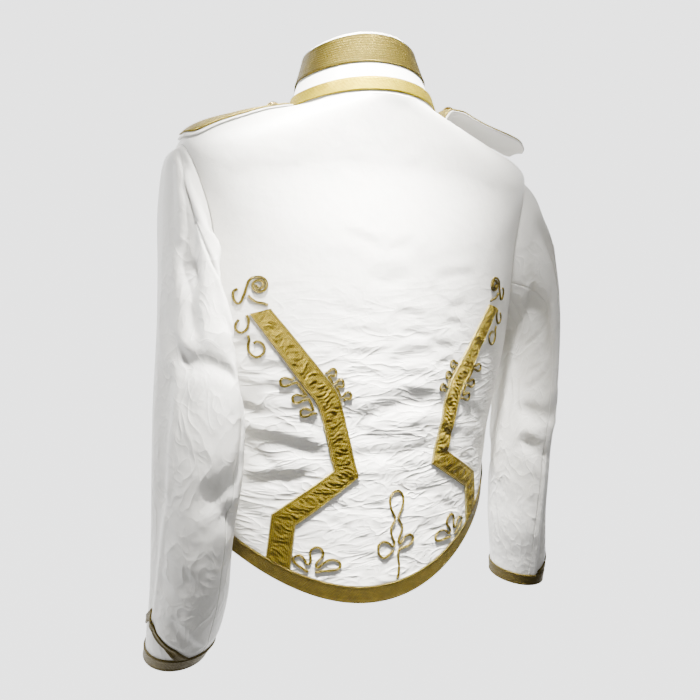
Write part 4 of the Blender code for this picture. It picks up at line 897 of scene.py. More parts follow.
# The collar
# A stiff stand collar of the same satin over canvas, sewn upright on the neck edge. It
# leans inwards, slopes down to the front and meets there edge to edge.
COLLAR_COLUMNS = ("ring", "half_width", "back_depth", "front_depth", "z_side", "z_back", "z_front")
COLLAR_RINGS = (
    ("foot", 0.0835, 0.0725, 0.0675, -0.003, 0.005, -0.049),
    ("low", 0.080, 0.067, 0.066, 0.012, 0.022, -0.030),
    ("middle", 0.071, 0.056, 0.066, 0.038, 0.048, -0.002),
    ("top", 0.061, 0.047, 0.068, 0.067, 0.078, 0.022),
)
COLLAR = {name: column(COLLAR_RINGS, COLLAR_COLUMNS, name) for name in COLLAR_COLUMNS[1:]}
COLLAR_AHEAD, COLLAR_TILT, COLLAR_TOP = -0.006, 0.03, 3
COLLAR_OPEN = math.radians(3)
COLLAR_SEAT = 0.0006


def collar(turn, level):
    """Rounded oblong rings that shrink and tip forward as they rise. What keeps the foot on
    the neck edge dies out as the square of the height that is left."""
    turn, level = np.broadcast_arrays(np.asarray(turn, float), np.asarray(level, float))

    def ring(height):
        size = {name: along(values, height) for name, values in COLLAR.items()}
        across, out = np.cos(turn), np.sin(turn)
        x = size["half_width"] * signed_power(across, 2 / 2.1)
        y = np.where(out > 0, size["back_depth"], size["front_depth"]) * signed_power(out, 2 / 2.1)
        middle = np.where(out > 0, size["z_back"], size["z_front"])
        z = size["z_side"] + (middle - size["z_side"]) * out**2
        return np.stack([x, y, z], axis=-1)

    edge = body(turn, NECK + 0 * turn)
    onward = unit(edge - body(turn, NECK - 0.01 + 0 * turn))
    share = level / COLLAR_TOP
    seat = edge + onward * COLLAR_SEAT
    points = ring(level) + (seat - ring(0 * level)) * ((1 - share) ** 2)[..., None]
    points[..., 1] += COLLAR_AHEAD * share
    points[..., 2] -= COLLAR_TILT * points[..., 0] * share
    return points


COLLAR_SATIN = white_satin("white satin of the collar", 0.0008)
collar_turns = near_ends(
    np.linspace(COLLAR_OPEN - np.pi / 2, 3 * np.pi / 2 - COLLAR_OPEN, 161), (0.0004, 0.0013, 0.003)
)[None, :]
collar_levels = near_ends(np.linspace(0, COLLAR_TOP, 31), (0.003, 0.009, 0.02))[:, None]
collar_turn, collar_level = np.broadcast_arrays(collar_turns, collar_levels)
collar_outer = collar(collar_turn, collar_level)
collar_normal = normals(collar, collar_turn, collar_level)
collar_normal[0] = normals(body, collar_turn[0], NECK - 0.01 + 0 * collar_turn[0], 5e-3)
collar_sunk = rolled_edges(*collar_turn.shape, row_ends=(False, True))[..., None]
collar_cloth = new_wall(
    "collar_cloth",
    collar_outer - collar_normal * collar_sunk,
    collar_outer - collar_normal * (CLOTH - collar_sunk),
    COLLAR_SATIN,
)
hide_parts("collar")

# Gold lace
# Woven metal lace: flat gilt threads in a brick pattern between two fine edge cords. It is
# sewn down flat along both edges.
LAID_GAP, LACE = 0.00045, 0.0012
OLD_GOLD_BRIGHT = (0.125, 0.088, 0.006, 1.0)
OLD_GOLD_DEEP = (0.030, 0.021, 0.002, 1.0)
EDGE_CREAM = (0.34, 0.28, 0.11, 1.0)


def lace_weave():
    """Bricks of thread, with the joints between them dark and low, crossed by fine slanting
    threads; the bright share is the brick's face times its thread."""
    group, given, made = new_group(
        "lace weave",
        (
            ("Vector", "NodeSocketVector", None),
            ("Brick", "NodeSocketFloat", 0.004),
            ("Thread", "NodeSocketFloat", 0.0007),
            ("Slant", "NodeSocketFloat", 0.6),
        ),
        (("Bright", "NodeSocketFloat"), ("Height", "NodeSocketFloat")),
    )
    vector = given.outputs["Vector"]
    brick = group.nodes.new("ShaderNodeTexBrick")
    group.links.new(vector, brick.inputs["Vector"])
    group.links.new(maths(group, "DIVIDE", 1.0, given.outputs["Brick"]), brick.inputs["Scale"])
    brick.inputs["Color1"].default_value = (1, 1, 1, 1)
    brick.inputs["Color2"].default_value = (0.72, 0.72, 0.72, 1)
    brick.inputs["Mortar"].default_value = (0, 0, 0, 1)
    brick.inputs["Mortar Size"].default_value = 0.07
    brick.inputs["Mortar Smooth"].default_value = 0.6
    brick.inputs["Brick Width"].default_value = 1.0
    brick.inputs["Row Height"].default_value = 0.5
    turned = group.nodes.new("ShaderNodeVectorRotate")
    turned.rotation_type = "Z_AXIS"
    group.links.new(vector, turned.inputs["Vector"])
    group.links.new(given.outputs["Slant"], turned.inputs["Angle"])
    thread = waves(
        group, turned.outputs["Vector"], maths(group, "DIVIDE", WAVE_PERIOD, given.outputs["Thread"]),
        "X", 0.4,
    )
    face = group.nodes.new("ShaderNodeRGBToBW")
    group.links.new(brick.outputs["Color"], face.inputs["Color"])
    strength = maths(group, "ADD", maths(group, "MULTIPLY", thread, 0.55), 0.45)
    bright = maths(group, "MULTIPLY", face.outputs["Val"], strength)
    cloudy = noise(group, vector, 130, 3.0, 0.6)
    shade = maths(group, "ADD", maths(group, "MULTIPLY", cloudy, 0.9), 0.5)
    group.links.new(maths(group, "MULTIPLY", bright, shade), made.inputs["Bright"])
    group.links.new(
        maths(
            group, "ADD",
            maths(group, "MULTIPLY", face.outputs["Val"], 0.6), maths(group, "MULTIPLY", thread, 0.4),
        ),
        made.inputs["Height"],
    )
    return group


LACE_WEAVE = lace_weave()


def gold_lace(name, bright, deep, brick, thread, slant, relief, metallic=0.75, edge=None):
    """The lace's finish. relief is the height in metres of its weave; past the edge, measured
    from the middle, the cord's cream thread shows."""
    finish = bpy.data.materials.new(name)
    finish.use_nodes = True
    tree = finish.node_tree
    shader = tree.nodes["Principled BSDF"]
    weave = placed(tree, LACE_WEAVE, Vector=uv_of(tree), Brick=brick, Thread=thread, Slant=slant)
    colour = mixed(tree, weave.outputs["Bright"], deep, bright)
    if edge is not None:
        place = tree.nodes.new("ShaderNodeSeparateXYZ")
        tree.links.new(uv_of(tree), place.inputs["Vector"])
        over = maths(tree, "SUBTRACT", maths(tree, "ABSOLUTE", place.outputs["Y"]), edge)
        steep = maths(tree, "MULTIPLY", over, 2500.0)
        share = maths(tree, "MINIMUM", maths(tree, "MAXIMUM", steep, 0.0), 0.8)
        colour = mixed(tree, share, colour, EDGE_CREAM)
    tree.links.new(colour, shader.inputs["Base Color"])
    tree.links.new(
        maths(tree, "SUBTRACT", 0.62, maths(tree, "MULTIPLY", weave.outputs["Bright"], 0.24)),
        shader.inputs["Roughness"],
    )
    tree.links.new(bumped(tree, weave.outputs["Height"], relief), shader.inputs["Normal"])
    shader.inputs["Metallic"].default_value = metallic
    return finish


def across_lace(width, middle_steps):
    """Places across a lace: close together at its rims and edge cords, even between."""
    rim = np.array([0, 0.0003, 0.0009, 0.0014, 0.0019, 0.0024, 0.0030])
    middle = np.linspace(rim[-1], width - rim[-1], middle_steps + 1)[1:-1]
    return np.concatenate([rim, middle, width - rim[::-1]]) - width / 2


def lace_profile(across, width, edge_cord, cords=(0.0009, 0.0021)):
    """Height over the lace's foot: the lace's thickness less a round fall at the rims, plus
    a bell curve for each edge cord."""
    rim = width / 2 - np.abs(across)
    fall = np.clip(1 - rim / 0.0006, 0, 1)
    height = LACE * (1 - 0.45 * fall**2)
    for place in cords:
        height = height + edge_cord * np.exp(-((rim - place) / 0.00042) ** 2)
    return height


def lace_strip(name, node, base, away, across, run, height, finish, lift=0.0, closed=False):
    """A strip over base points: its under side one gap off the cloth, its upper side by the
    height more. The UV map holds the metres along and across."""
    run = np.broadcast_to(run, base.shape[:2] if not closed else (base.shape[0], base.shape[1] + 1))
    across = np.broadcast_to(across, run.shape)
    made = new_wall(
        name,
        base + away * (LAID_GAP + lift + height)[..., None],
        base + away * (LAID_GAP + lift + 0 * height)[..., None],
        finish,
        uv=np.stack([run, across], axis=-1),
        closed=closed,
    )
    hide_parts(node)
    return made


# Collar laces: one band round the foot of the collar and one below its top, both of the same gold lace. The upper
# one's gold is set much darker, because the lower one is overexposed in the reference view; so the lower one's
# gold carries painted light and the upper one's painted shade.
COLLAR_GOLD = {
    # The lower lace: the collar's gold lightened with painted light.
    "lower": gold_lace(
        "collar lace gold with painted light", (0.56, 0.44, 0.005, 1), (0.13, 0.09, 0.002, 1), 0.0040,
        0.0009, 0.9, 0.00060, 0.9,
    ),
    # The upper lace: the same gold darkened with painted shade.
    "upper": gold_lace(
        "collar lace gold with painted shade", (0.12, 0.088, 0.004, 1), (0.026, 0.018, 0.001, 1), 0.0040,
        0.0009, 0.9, 0.00060, 0.85,
    ),
}
COLLAR_LACE_TURNS, HEM_LACE_TURNS, CUFF_LACE_PLACES = 401, 761, 170
COLLAR_LACES = (("lower", 0.22, 1.12), ("upper", 1.80, 2.88))
for place, low, high in COLLAR_LACES:
    turn = np.linspace(COLLAR_OPEN - np.pi / 2, 3 * np.pi / 2 - COLLAR_OPEN, COLLAR_LACE_TURNS)[:, None]
    width = 0.0195 if place == "lower" else 0.0230
    across = across_lace(width, 14)[None, :]
    level = low + (high - low) * (across / width + 0.5)
    turn, level = np.broadcast_arrays(turn, level)
    base, away = collar(turn, level), normals(collar, turn, level)
    run = lengths(base, 0)
    profile = lace_profile(across, width, 0.00030) + 0 * run
    basket = 0.00016 * np.cos(2 * np.pi * run / 0.004) * np.cos(np.pi * (across + 0.001) / 0.002)
    inside = np.clip((width / 2 - np.abs(across) - 0.0026) / 0.0006, 0, 1)
    lace_strip(
            f"collar_lace_{place}_gold", f"collar_lace_{place}", base, away, across, run,
            profile + basket * inside, COLLAR_GOLD[place], lift=0.0003,
        )

# Hem lace: one long band of older, browner gold round the hem, with slanting threads.
HEM_LACE_WIDTH, HEM_LACE_SETBACK = 0.020, 0.0005
LAP_CLEARANCE = math.radians(1.5)
HEM_GOLD = gold_lace(
    "brown gold of the hem lace", OLD_GOLD_BRIGHT, OLD_GOLD_DEEP, 0.0032, 0.0010, 0.75, 0.00035, 0.7
)


def hem_level(turn, height):
    """The level that lies this far above the hem along the cloth."""
    tall = np.linalg.norm(body(turn, 0.25, False) - body(turn, 0.0 * turn, False), axis=-1)
    return 0.25 * height / tall


lap_reach = FRONT_LAP * turn_per_metre(np.array([-np.pi / 2]), np.array([0.0]))[0]
turn = np.linspace(
    -np.pi / 2 - lap_reach + math.radians(0.3), 3 * np.pi / 2 - lap_reach - LAP_CLEARANCE, HEM_LACE_TURNS
)[:, None]
hem_across = across_lace(HEM_LACE_WIDTH - HEM_LACE_SETBACK, 8)[None, :]
height = hem_across + (HEM_LACE_WIDTH + HEM_LACE_SETBACK) / 2
turn, height = np.broadcast_arrays(turn, height)
level = hem_level(turn, height)
base, away = body(turn, level), normals(body, turn, level)
run = lengths(base, 0)
profile = lace_profile(hem_across, HEM_LACE_WIDTH - HEM_LACE_SETBACK, 0.00035) + 0 * run
slanting = 0.00014 * np.cos(2 * np.pi * (run * 0.8 + hem_across * 0.6) / 0.0028)
inside = np.clip((HEM_LACE_WIDTH / 2 - np.abs(hem_across) - 0.0028) / 0.0006, 0, 1)
hem_lace = lace_strip(
    "hem_lace_gold", "hem_lace", base, away, hem_across, run, profile + slanting * inside,
    HEM_GOLD, lift=np.where(turn < 0, lap(turn), 0),
)

# Back laces: from each armhole down to the waist, out in a sharp corner and down to the
# hem. The lace is eased round its bends, so its field is puckered crosswise.
BACK_LACE_WIDTH = 0.0235
BACK_LACE_TOP = ((0.1550, -0.2130), (0.1455, -0.2105), (0.1360, -0.2080))
BACK_LACE_PATH = (
    (0.1440, -0.2125),
    (0.0970, -0.2770),
    (0.0800, -0.3020),
    (0.0695, -0.3400),
    (0.0600, -0.3780),
    (0.1210, -0.4200),
    (0.1265, -0.4720),
)
LACE_CLEARANCE = 0.0008
RIGHT_DRAWN_IN = 0.06
BACK_GOLD = gold_lace(
    "gold of the back laces", (0.27, 0.195, 0.009, 1), (0.045, 0.030, 0.003, 1), 0.0034, 0.0009, 1.2,
    0.00070, edge=BACK_LACE_WIDTH / 2 - 0.0012,
)


def turn_and_level(first, second, axes, turn, level, low, high):
    """Newton's rule on the smooth body: the turn and level at which two of its coordinates
    have these values, with the level kept between low and high."""
    step = 1e-4
    for _ in range(16):
        here = body(turn, level, False)[..., axes]
        by_turn = (body(turn + step, level, False)[..., axes] - here) / step
        by_level = (body(turn, level + step, False)[..., axes] - here) / step
        short_a, short_b = first - here[..., 0], second - here[..., 1]
        spread = by_turn[..., 0] * by_level[..., 1] - by_turn[..., 1] * by_level[..., 0]
        spread = np.where(np.abs(spread) < 1e-9, 1e-9, spread)
        add_turn = (short_a * by_level[..., 1] - short_b * by_level[..., 0]) / spread
        add_level = (by_turn[..., 0] * short_b - by_turn[..., 1] * short_a) / spread
        turn = turn + np.clip(add_turn, -0.2, 0.2)
        level = np.clip(level + np.clip(add_level, -0.5, 0.5), low, high)
    return turn, level


def on_back(flat):
    """Points and outward directions of the creased back at these (x, z) places."""
    x, z = flat[..., 0], flat[..., 1]
    turn = np.arccos(np.clip(x / 0.215, -0.97, 0.97))
    level = np.interp(z, BODY["z_back"], np.arange(len(BODY_RINGS)))
    turn, level = turn_and_level(x, z, [0, 2], turn, level, 0.0, 6.5)
    return body(turn, level), normals(body, turn, level)


def above_hem(x, height):
    """Height z on the back, this far above the hem, at each x."""
    level = 0.15 + 0 * x
    for _ in range(6):
        half_width, square = along(BODY["half_width"], level), along(BODY["square"], level)
        across = np.sign(x) * np.clip(np.abs(x) / half_width, 0, 0.98) ** (square / 2)
        level = hem_level(np.arccos(across), height)
    return body(np.arccos(across), level, False)[..., 2]


def hem_lace_top(x):
    """The height just clear of the hem lace's upper edge at this x."""
    return above_hem(x, HEM_LACE_WIDTH + LACE_CLEARANCE)


def on_side(path, mirror):
    """A drawn path on one side, following the hem's tilt as it nears the hem. The right one
    lies a little closer in."""
    near_hem = np.clip((-0.33 - path[..., 1]) / 0.16, 0, 1)
    x = path[..., 0] * mirror * (1 if mirror > 0 else 1 - RIGHT_DRAWN_IN)
    return np.stack([x, path[..., 1] - LEFT_HEM_DROP * x * near_hem], axis=-1)


def smooth(points, per_stretch):
    """A cubic for each stretch of the drawn points or rows; it passes through them and heads
    past each towards the line between its neighbours."""
    points = np.array(points, float)
    ends = np.concatenate([2 * points[:1] - points[1:2], points, 2 * points[-1:] - points[-2:-1]])
    a, b, c, d = ends[:-3, None], ends[1:-2, None], ends[2:-1, None], ends[3:, None]
    f = (np.arange(per_stretch) / per_stretch).reshape((1, -1) + (1,) * (points.ndim - 1))
    made = 0.5 * (2 * b + (c - a) * f + (2 * a - 5 * b + 4 * c - d) * f**2 + (3 * b - a - 3 * c + d) * f**3)
    return np.concatenate([made.reshape((-1,) + points.shape[1:]), points[-1:]])


def evenly(points, spacing):
    """Points at even distances along a path, ends kept."""
    far = lengths(points, 0)
    count = max(2, int(round(far[-1] / spacing)) + 1)
    wanted = np.linspace(0, far[-1], count)
    return np.stack([np.interp(wanted, far, points[:, k]) for k in range(points.shape[1])], axis=-1)


def beside(points, offsets):
    """The path's copies at these offsets to its side, mitred at its corners."""
    step = unit(np.diff(points, axis=0))
    side = np.stack([step[:, 1], -step[:, 0]], axis=-1)
    first = np.concatenate([side[:1], side])
    last = np.concatenate([side, side[-1:]])
    mitre = unit(first + last)
    mitre = mitre / np.maximum((mitre * last).sum(axis=1, keepdims=True), 0.3)
    return points[:, None, :] + mitre[:, None, :] * np.asarray(offsets)[None, :, None]


def straight(start, end, spacing):
    """Rows of points between two rows, the first left out."""
    count = max(1, int(round(np.linalg.norm(end - start, axis=-1).mean() / spacing)))
    share = (np.arange(1, count + 1) / count)[:, None, None]
    return start[None] + (end - start)[None] * share


LACE_SPACING = 0.0010
lace_across = across_lace(BACK_LACE_WIDTH, 22)
for side, mirror in SIDES:
    rows = beside(np.array(BACK_LACE_PATH), lace_across)
    half = BACK_LACE_WIDTH / 2
    rows[0] = np.stack(
        [np.interp(lace_across, [-half, 0, half], edge) for edge in np.array(BACK_LACE_TOP).T], axis=-1
    )
    rows = on_side(rows, mirror)
    for _ in range(6):
        way = rows[-1] - rows[-2]
        over = hem_lace_top(rows[-1, :, 0]) - rows[-1, :, 1]
        rows[-1] = rows[-1] + way * (over / way[:, 1])[:, None]
    curve, corner, end = smooth(rows[:-2], 56), rows[-2], rows[-1]
    flat = np.concatenate([curve, straight(curve[-1], corner, LACE_SPACING), straight(corner, end, LACE_SPACING)])
    base, away = on_back(flat)
    run = lengths(flat, 0).mean(axis=1)[:, None] + 0 * flat[..., 0]
    inside = np.clip((BACK_LACE_WIDTH / 2 - np.abs(lace_across) - 0.0026) / 0.004, 0, 1)[None, :]
    wander = 0.0026 * np.sin(run * 173 + lace_across * 310) + 0.0010 * np.sin(run * 411 - lace_across * 260)
    pucker = 0.00038 * np.cos(2 * np.pi * (run + wander) / 0.0062)
    pucker = pucker + 0.00030 * np.cos(2 * np.pi * run / 0.0137 + lace_across * 190)
    pucker = pucker + 0.00020 * np.cos(2 * np.pi * run / 0.0041 - lace_across * 420)
    profile = lace_profile(lace_across[None, :], BACK_LACE_WIDTH, 0.00045) + (pucker + 0.0005) * inside
    lace_strip(
        f"{side}_back_lace_gold", f"{side}_back_lace", base, away, lace_across[None, :], run,
        profile, BACK_GOLD,
    )

# Cuff laces: the same brown gold as the hem's, one band round each cuff and a narrow
# pointed one that stands on it at the outside of the sleeve.
CUFF_LACE_WIDTH, CUFF_LACE_SETBACK = 0.018, 0.0006
POINT_LACE_WIDTH, POINT_LACE_CLEARANCE = 0.0090, 0.0009
POINT_LACE_PATH = ((0.0470, 0.0200), (0.0020, 0.0640), (-0.0420, 0.0200))


def sleeve_places(round_way, height):
    """Share of the way round and ring on a sleeve, from metres round from its outer line and
    metres above its cuff."""
    centre_z = (SLEEVE["outer_z"] + SLEEVE["inner_z"]) / 2
    heights = centre_z - centre_z[-1]
    level = np.interp(height, heights[::-1], np.arange(CUFF, -1, -1.0))
    half = np.interp(level, np.arange(CUFF + 1.0), SLEEVE["outer_x"] - SLEEVE["inner_x"]) / 2
    deep = np.interp(level, np.arange(CUFF + 1.0), SLEEVE["half_depth"])
    return round_way / (2 * np.pi * np.sqrt((half**2 + deep**2) / 2)), level


def on_sleeve(side, place, level):
    """Points and outward directions of the creased sleeve."""
    mirror = np.array([MIRROR[side], 1, 1])

    def surface(a, b):
        return sleeve(side, a, b)

    return surface(place, level) * mirror, -normals(surface, place, level) * mirror


sleeve_trims = {"left": [], "right": []}
for side, mirror in SIDES:
    across = across_lace(CUFF_LACE_WIDTH - CUFF_LACE_SETBACK, 8)
    above = across + (CUFF_LACE_WIDTH + CUFF_LACE_SETBACK) / 2
    place = (np.arange(CUFF_LACE_PLACES) / CUFF_LACE_PLACES)[None, :] + 0 * above[:, None]
    level = sleeve_places(0 * above, above)[1][:, None] + 0 * place
    base, away = on_sleeve(side, place, level)
    ring = np.concatenate([base, base[:, :1]], axis=1)
    run = lengths(ring, 1)
    run = run / run[:, -1:] * 0.216
    profile = lace_profile(across, CUFF_LACE_WIDTH - CUFF_LACE_SETBACK, 0.00035)[:, None] + 0 * place
    slanting = 0.00014 * np.cos(2 * np.pi * (run[:, :-1] / 0.0036 + across[:, None] / 0.0048))
    inside = np.clip((CUFF_LACE_WIDTH / 2 - np.abs(across) - 0.0028) / 0.0006, 0, 1)[:, None]
    sleeve_trims[side].append(
        lace_strip(
            f"{side}_cuff_lace_gold", f"{side}_cuff_lace", base, away,
            across[:, None] + 0 * run, run, profile + slanting * inside, HEM_GOLD, closed=True,
        )
    )
    across = across_lace(POINT_LACE_WIDTH, 5)
    rows = beside(np.array(POINT_LACE_PATH), across)
    for end, other in ((0, 1), (-1, -2)):
        way = rows[other] - rows[end]
        over = CUFF_LACE_WIDTH + POINT_LACE_CLEARANCE - rows[end, :, 1]
        rows[end] = rows[end] + way * (over / way[:, 1])[:, None]
    flat = np.concatenate(
        [rows[:1], straight(rows[0], rows[1], 0.0009), straight(rows[1], rows[2], 0.0009)]
    )
    base, away = on_sleeve(side, *sleeve_places(flat[..., 0], flat[..., 1]))
    run = lengths(flat, 0).mean(axis=1)[:, None] + 0 * flat[..., 0]
    profile = lace_profile(across[None, :], POINT_LACE_WIDTH, 0.00030) + 0 * run
    sleeve_trims[side].append(
        lace_strip(
            f"{side}_point_lace_gold", f"{side}_point_lace", base, away, across[None, :], run,
            profile, HEM_GOLD,
        )
    )

# Soutache braid
# Flat braid of two cords side by side with a groove between them, gilt threads over a pale
# core. It is sewn on the back in loops and knots, and lies flat on the cloth.
BRAID_WIDTH, BRAID_HEIGHT = 0.0026, 0.0013
BRAID_BRIGHT = (0.19, 0.135, 0.008, 1.0)
BRAID_DEEP = (0.040, 0.028, 0.002, 1.0)
BRAID_SECTION = np.array([-1.0, -0.94, -0.80, -0.58, -0.34, -0.12, 0, 0.12, 0.34, 0.58, 0.80, 0.94, 1.0])
BRAID_RISE = np.array([0.18, 0.50, 0.82, 1.0, 0.93, 0.66, 0.56, 0.66, 0.93, 1.0, 0.82, 0.50, 0.18])


def braid_threads():
    """Threads that lean towards the middle groove from both sides, as slanting waves of the
    run and the distance from the middle."""
    group, given, made = new_group(
        "braid threads",
        (("Vector", "NodeSocketVector", None), ("Thread", "NodeSocketFloat", 0.0011)),
        (("Bright", "NodeSocketFloat"), ("Height", "NodeSocketFloat")),
    )
    parts = group.nodes.new("ShaderNodeSeparateXYZ")
    group.links.new(given.outputs["Vector"], parts.inputs["Vector"])
    aside = maths(group, "ABSOLUTE", parts.outputs["Y"])
    leaning = maths(group, "ADD", parts.outputs["X"], maths(group, "MULTIPLY", aside, 0.8))
    joined = group.nodes.new("ShaderNodeCombineXYZ")
    group.links.new(leaning, joined.inputs["X"])
    scale = maths(group, "DIVIDE", WAVE_PERIOD, given.outputs["Thread"])
    thread = waves(group, joined.outputs["Vector"], scale, "X", 0.0)
    cloudy = noise(group, given.outputs["Vector"], 420, 2.0)
    bright = maths(group, "MULTIPLY", thread, maths(group, "ADD", maths(group, "MULTIPLY", cloudy, 1.0), 0.4))
    group.links.new(bright, made.inputs["Bright"])
    group.links.new(thread, made.inputs["Height"])
    return group


BRAID_THREADS = braid_threads()


def gold_braid(name, bright, deep):
    """Braid's gold: a deep and a bright gold mixed by its plaited threads."""
    finish = bpy.data.materials.new(name)
    finish.use_nodes = True
    tree = finish.node_tree
    shader = tree.nodes["Principled BSDF"]
    threads = placed(tree, BRAID_THREADS, Vector=uv_of(tree), Thread=0.0011)
    tree.links.new(mixed(tree, threads.outputs["Bright"], deep, bright), shader.inputs["Base Color"])
    tree.links.new(bumped(tree, threads.outputs["Height"], 0.00022), shader.inputs["Normal"])
    tree.links.new(
        maths(tree, "SUBTRACT", 0.60, maths(tree, "MULTIPLY", threads.outputs["Bright"], 0.2)),
        shader.inputs["Roughness"],
    )
    shader.inputs["Metallic"].default_value = 0.55
    return finish


BRAID_GOLD = gold_braid("olive gold of the braid", BRAID_BRIGHT, BRAID_DEEP)


def braid(name, node, path):
    """The braid's section carried along an (x, z) path on the back."""
    path = evenly(path, 0.0006)
    flat = beside(path, BRAID_SECTION * BRAID_WIDTH / 2)
    base, away = on_back(flat)
    run = np.broadcast_to(lengths(path, 0)[:, None], base.shape[:2])
    across = np.broadcast_to(BRAID_SECTION * BRAID_WIDTH / 2, run.shape)
    rise = BRAID_RISE * BRAID_HEIGHT + 0 * run
    end = np.minimum(run, run[-1] - run) / (BRAID_WIDTH / 2)
    rise = rise * (0.35 + 0.65 * np.sqrt(np.clip(1 - (1 - np.clip(end, 0, 1)) ** 2, 0, 1)))
    made = new_wall(
        name,
        base + away * (LAID_GAP + rise)[..., None],
        base + away * (LAID_GAP + 0 * rise)[..., None],
        BRAID_GOLD,
        uv=np.stack([run, across], axis=-1),
    )
    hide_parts(node)


# Three loops stand on each edge of each back lace, joined by a run beside it. Each is drawn
# from its root, as the way out and the way up. Roots: x, z, direction out in degrees.
INNER_ROOTS = (
    (0.0820, -0.2742, 165),
    (0.0739, -0.2862, 162),
    (0.0657, -0.2995, 158),
)
INNER_LOOP = (
    (-0.0010, 0.0029), (-0.0006, 0.0021), (0.0006, 0.0017), (0.0028, 0.0025),
    (0.0050, 0.0036), (0.0072, 0.0038), (0.0090, 0.0024), (0.0096, 0.0000),
    (0.0090, -0.0024), (0.0074, -0.0037), (0.0056, -0.0033), (0.0042, -0.0022),
    (0.0030, -0.0017), (0.0018, -0.0022), (0.0013, -0.0032), (0.0014, -0.0040),
)
OUTER_ROOTS = (
    (0.1122, -0.2797, -4),
    (0.1006, -0.2970, -4),
    (0.0930, -0.3115, -4),
)
OUTER_LOOP = (
    (0.0021, 0.0042), (0.0019, 0.0032), (0.0025, 0.0021), (0.0037, 0.0017),
    (0.0058, 0.0026), (0.0086, 0.0038), (0.0114, 0.0041), (0.0137, 0.0027),
    (0.0145, 0.0000), (0.0137, -0.0027), (0.0114, -0.0041), (0.0082, -0.0039),
    (0.0046, -0.0025), (0.0019, -0.0018), (0.0001, -0.0017), (-0.0009, -0.0020),
    (-0.0014, -0.0027),
)


def loop_row(roots, loop, up):
    """One path through all the loops of a row: each drawn place turned by its root's angle
    and added to the root; up is 1 where up lies left of the way out."""
    place, loop = np.array(roots), np.array(loop)
    angle = np.radians(place[:, 2])[:, None]
    out, rise = loop[None, :, 0], loop[None, :, 1] * up
    x = place[:, :1] + out * np.cos(angle) - rise * np.sin(angle)
    z = place[:, 1:2] + out * np.sin(angle) + rise * np.cos(angle)
    return np.stack([x, z], axis=-1).reshape(-1, 2)


for side, mirror in SIDES:
    inner = smooth(loop_row(INNER_ROOTS, INNER_LOOP, -1), 6)
    outer = smooth(loop_row(OUTER_ROOTS, OUTER_LOOP, 1), 6)
    braid(f"{side}_inner_loops_braid", f"{side}_inner_loops", on_side(inner, mirror))
    braid(f"{side}_outer_loops_braid", f"{side}_outer_loops", on_side(outer, mirror))

# The knot at each armhole: a spiral whose tail hooks back, a bridge from it to the lace, a
# hook beside the lace's end and a ring that hangs below it.
SPIRAL_CENTRE = (0.1466, -0.1857)
SPIRAL_ANGLES, SPIRAL_RADII, SPIRAL_POINTS = (740, 84), (0.0021, 0.0080), 60
KNOT_TAIL = (
    (0.1517, -0.1784), (0.1552, -0.1812), (0.1570, -0.1860), (0.1586, -0.1918),
    (0.1604, -0.1972), (0.1624, -0.2018), (0.1650, -0.2030), (0.1675, -0.2003),
    (0.1688, -0.1955), (0.1680, -0.1910), (0.1648, -0.1893),
)
KNOT_BRIDGE = (
    (0.1562, -0.1952), (0.1528, -0.1990), (0.1480, -0.2019), (0.1428, -0.2028),
    (0.1384, -0.2046),
)
KNOT_HOOK = (
    (0.1573, -0.2142), (0.1557, -0.2182), (0.1556, -0.2232), (0.1573, -0.2282),
    (0.1606, -0.2312), (0.1643, -0.2303), (0.1667, -0.2266), (0.1660, -0.2222),
    (0.1638, -0.2186),
)
KNOT_DROP = (
    (0.1560, -0.2336), (0.1546, -0.2385), (0.1553, -0.2455), (0.1535, -0.2520),
    (0.1485, -0.2553), (0.1435, -0.2530), (0.1411, -0.2474), (0.1434, -0.2420),
    (0.1480, -0.2400), (0.1508, -0.2420),
)
spiral_angle = np.radians(np.linspace(*SPIRAL_ANGLES, SPIRAL_POINTS))
spiral_radius = np.linspace(*SPIRAL_RADII, SPIRAL_POINTS)
spiral = np.stack([np.cos(spiral_angle), np.sin(spiral_angle)], axis=-1) * spiral_radius[:, None]
spiral = spiral + SPIRAL_CENTRE
KNOT = (
    ("spiral", np.concatenate([spiral[:-1], smooth(np.concatenate([spiral[-1:], KNOT_TAIL]), 8)])),
    ("bridge", smooth(KNOT_BRIDGE, 8)),
    ("hook", smooth(KNOT_HOOK, 8)),
    ("drop", smooth(KNOT_DROP, 8)),
)
for side, mirror in SIDES:
    for name, path in KNOT:
        braid(f"{side}_knot_{name}_braid", f"{side}_knot_{name}", on_side(path, mirror))

# Three petals stand on the hem lace on each side of the back, drawn from their common root.
TREFOIL_ROOT = {"left": 0.0954, "right": -0.0830}
TREFOIL_RISE = 0.0028
TREFOIL_PATH = (
    (0.0026, 0.0024), (0.0072, 0.0062), (0.0120, 0.0102), (0.0156, 0.0138),
    (0.0168, 0.0172), (0.0150, 0.0202), (0.0110, 0.0212), (0.0074, 0.0188),
    (0.0056, 0.0148), (0.0040, 0.0117), (0.0016, 0.0117), (0.0001, 0.0148),
    (0.0003, 0.0190), (0.0008, 0.0225), (-0.0008, 0.0268), (-0.0050, 0.0291),
    (-0.0096, 0.0272), (-0.0121, 0.0228), (-0.0112, 0.0184), (-0.0085, 0.0150),
    (-0.0058, 0.0118), (-0.0050, 0.0084), (-0.0074, 0.0068), (-0.0104, 0.0092),
    (-0.0138, 0.0122), (-0.0190, 0.0140), (-0.0244, 0.0134), (-0.0290, 0.0100),
    (-0.0299, 0.0058), (-0.0262, 0.0030), (-0.0204, 0.0024), (-0.0124, 0.0026),
    (-0.0040, 0.0018),
)
for side, mirror in SIDES:
    x = TREFOIL_ROOT[side]
    root = np.array([x, hem_lace_top(np.array([x]))[0] + TREFOIL_RISE])
    braid(f"{side}_trefoil_braid", f"{side}_trefoil", smooth(TREFOIL_PATH, 6) * [mirror, 1] + root)

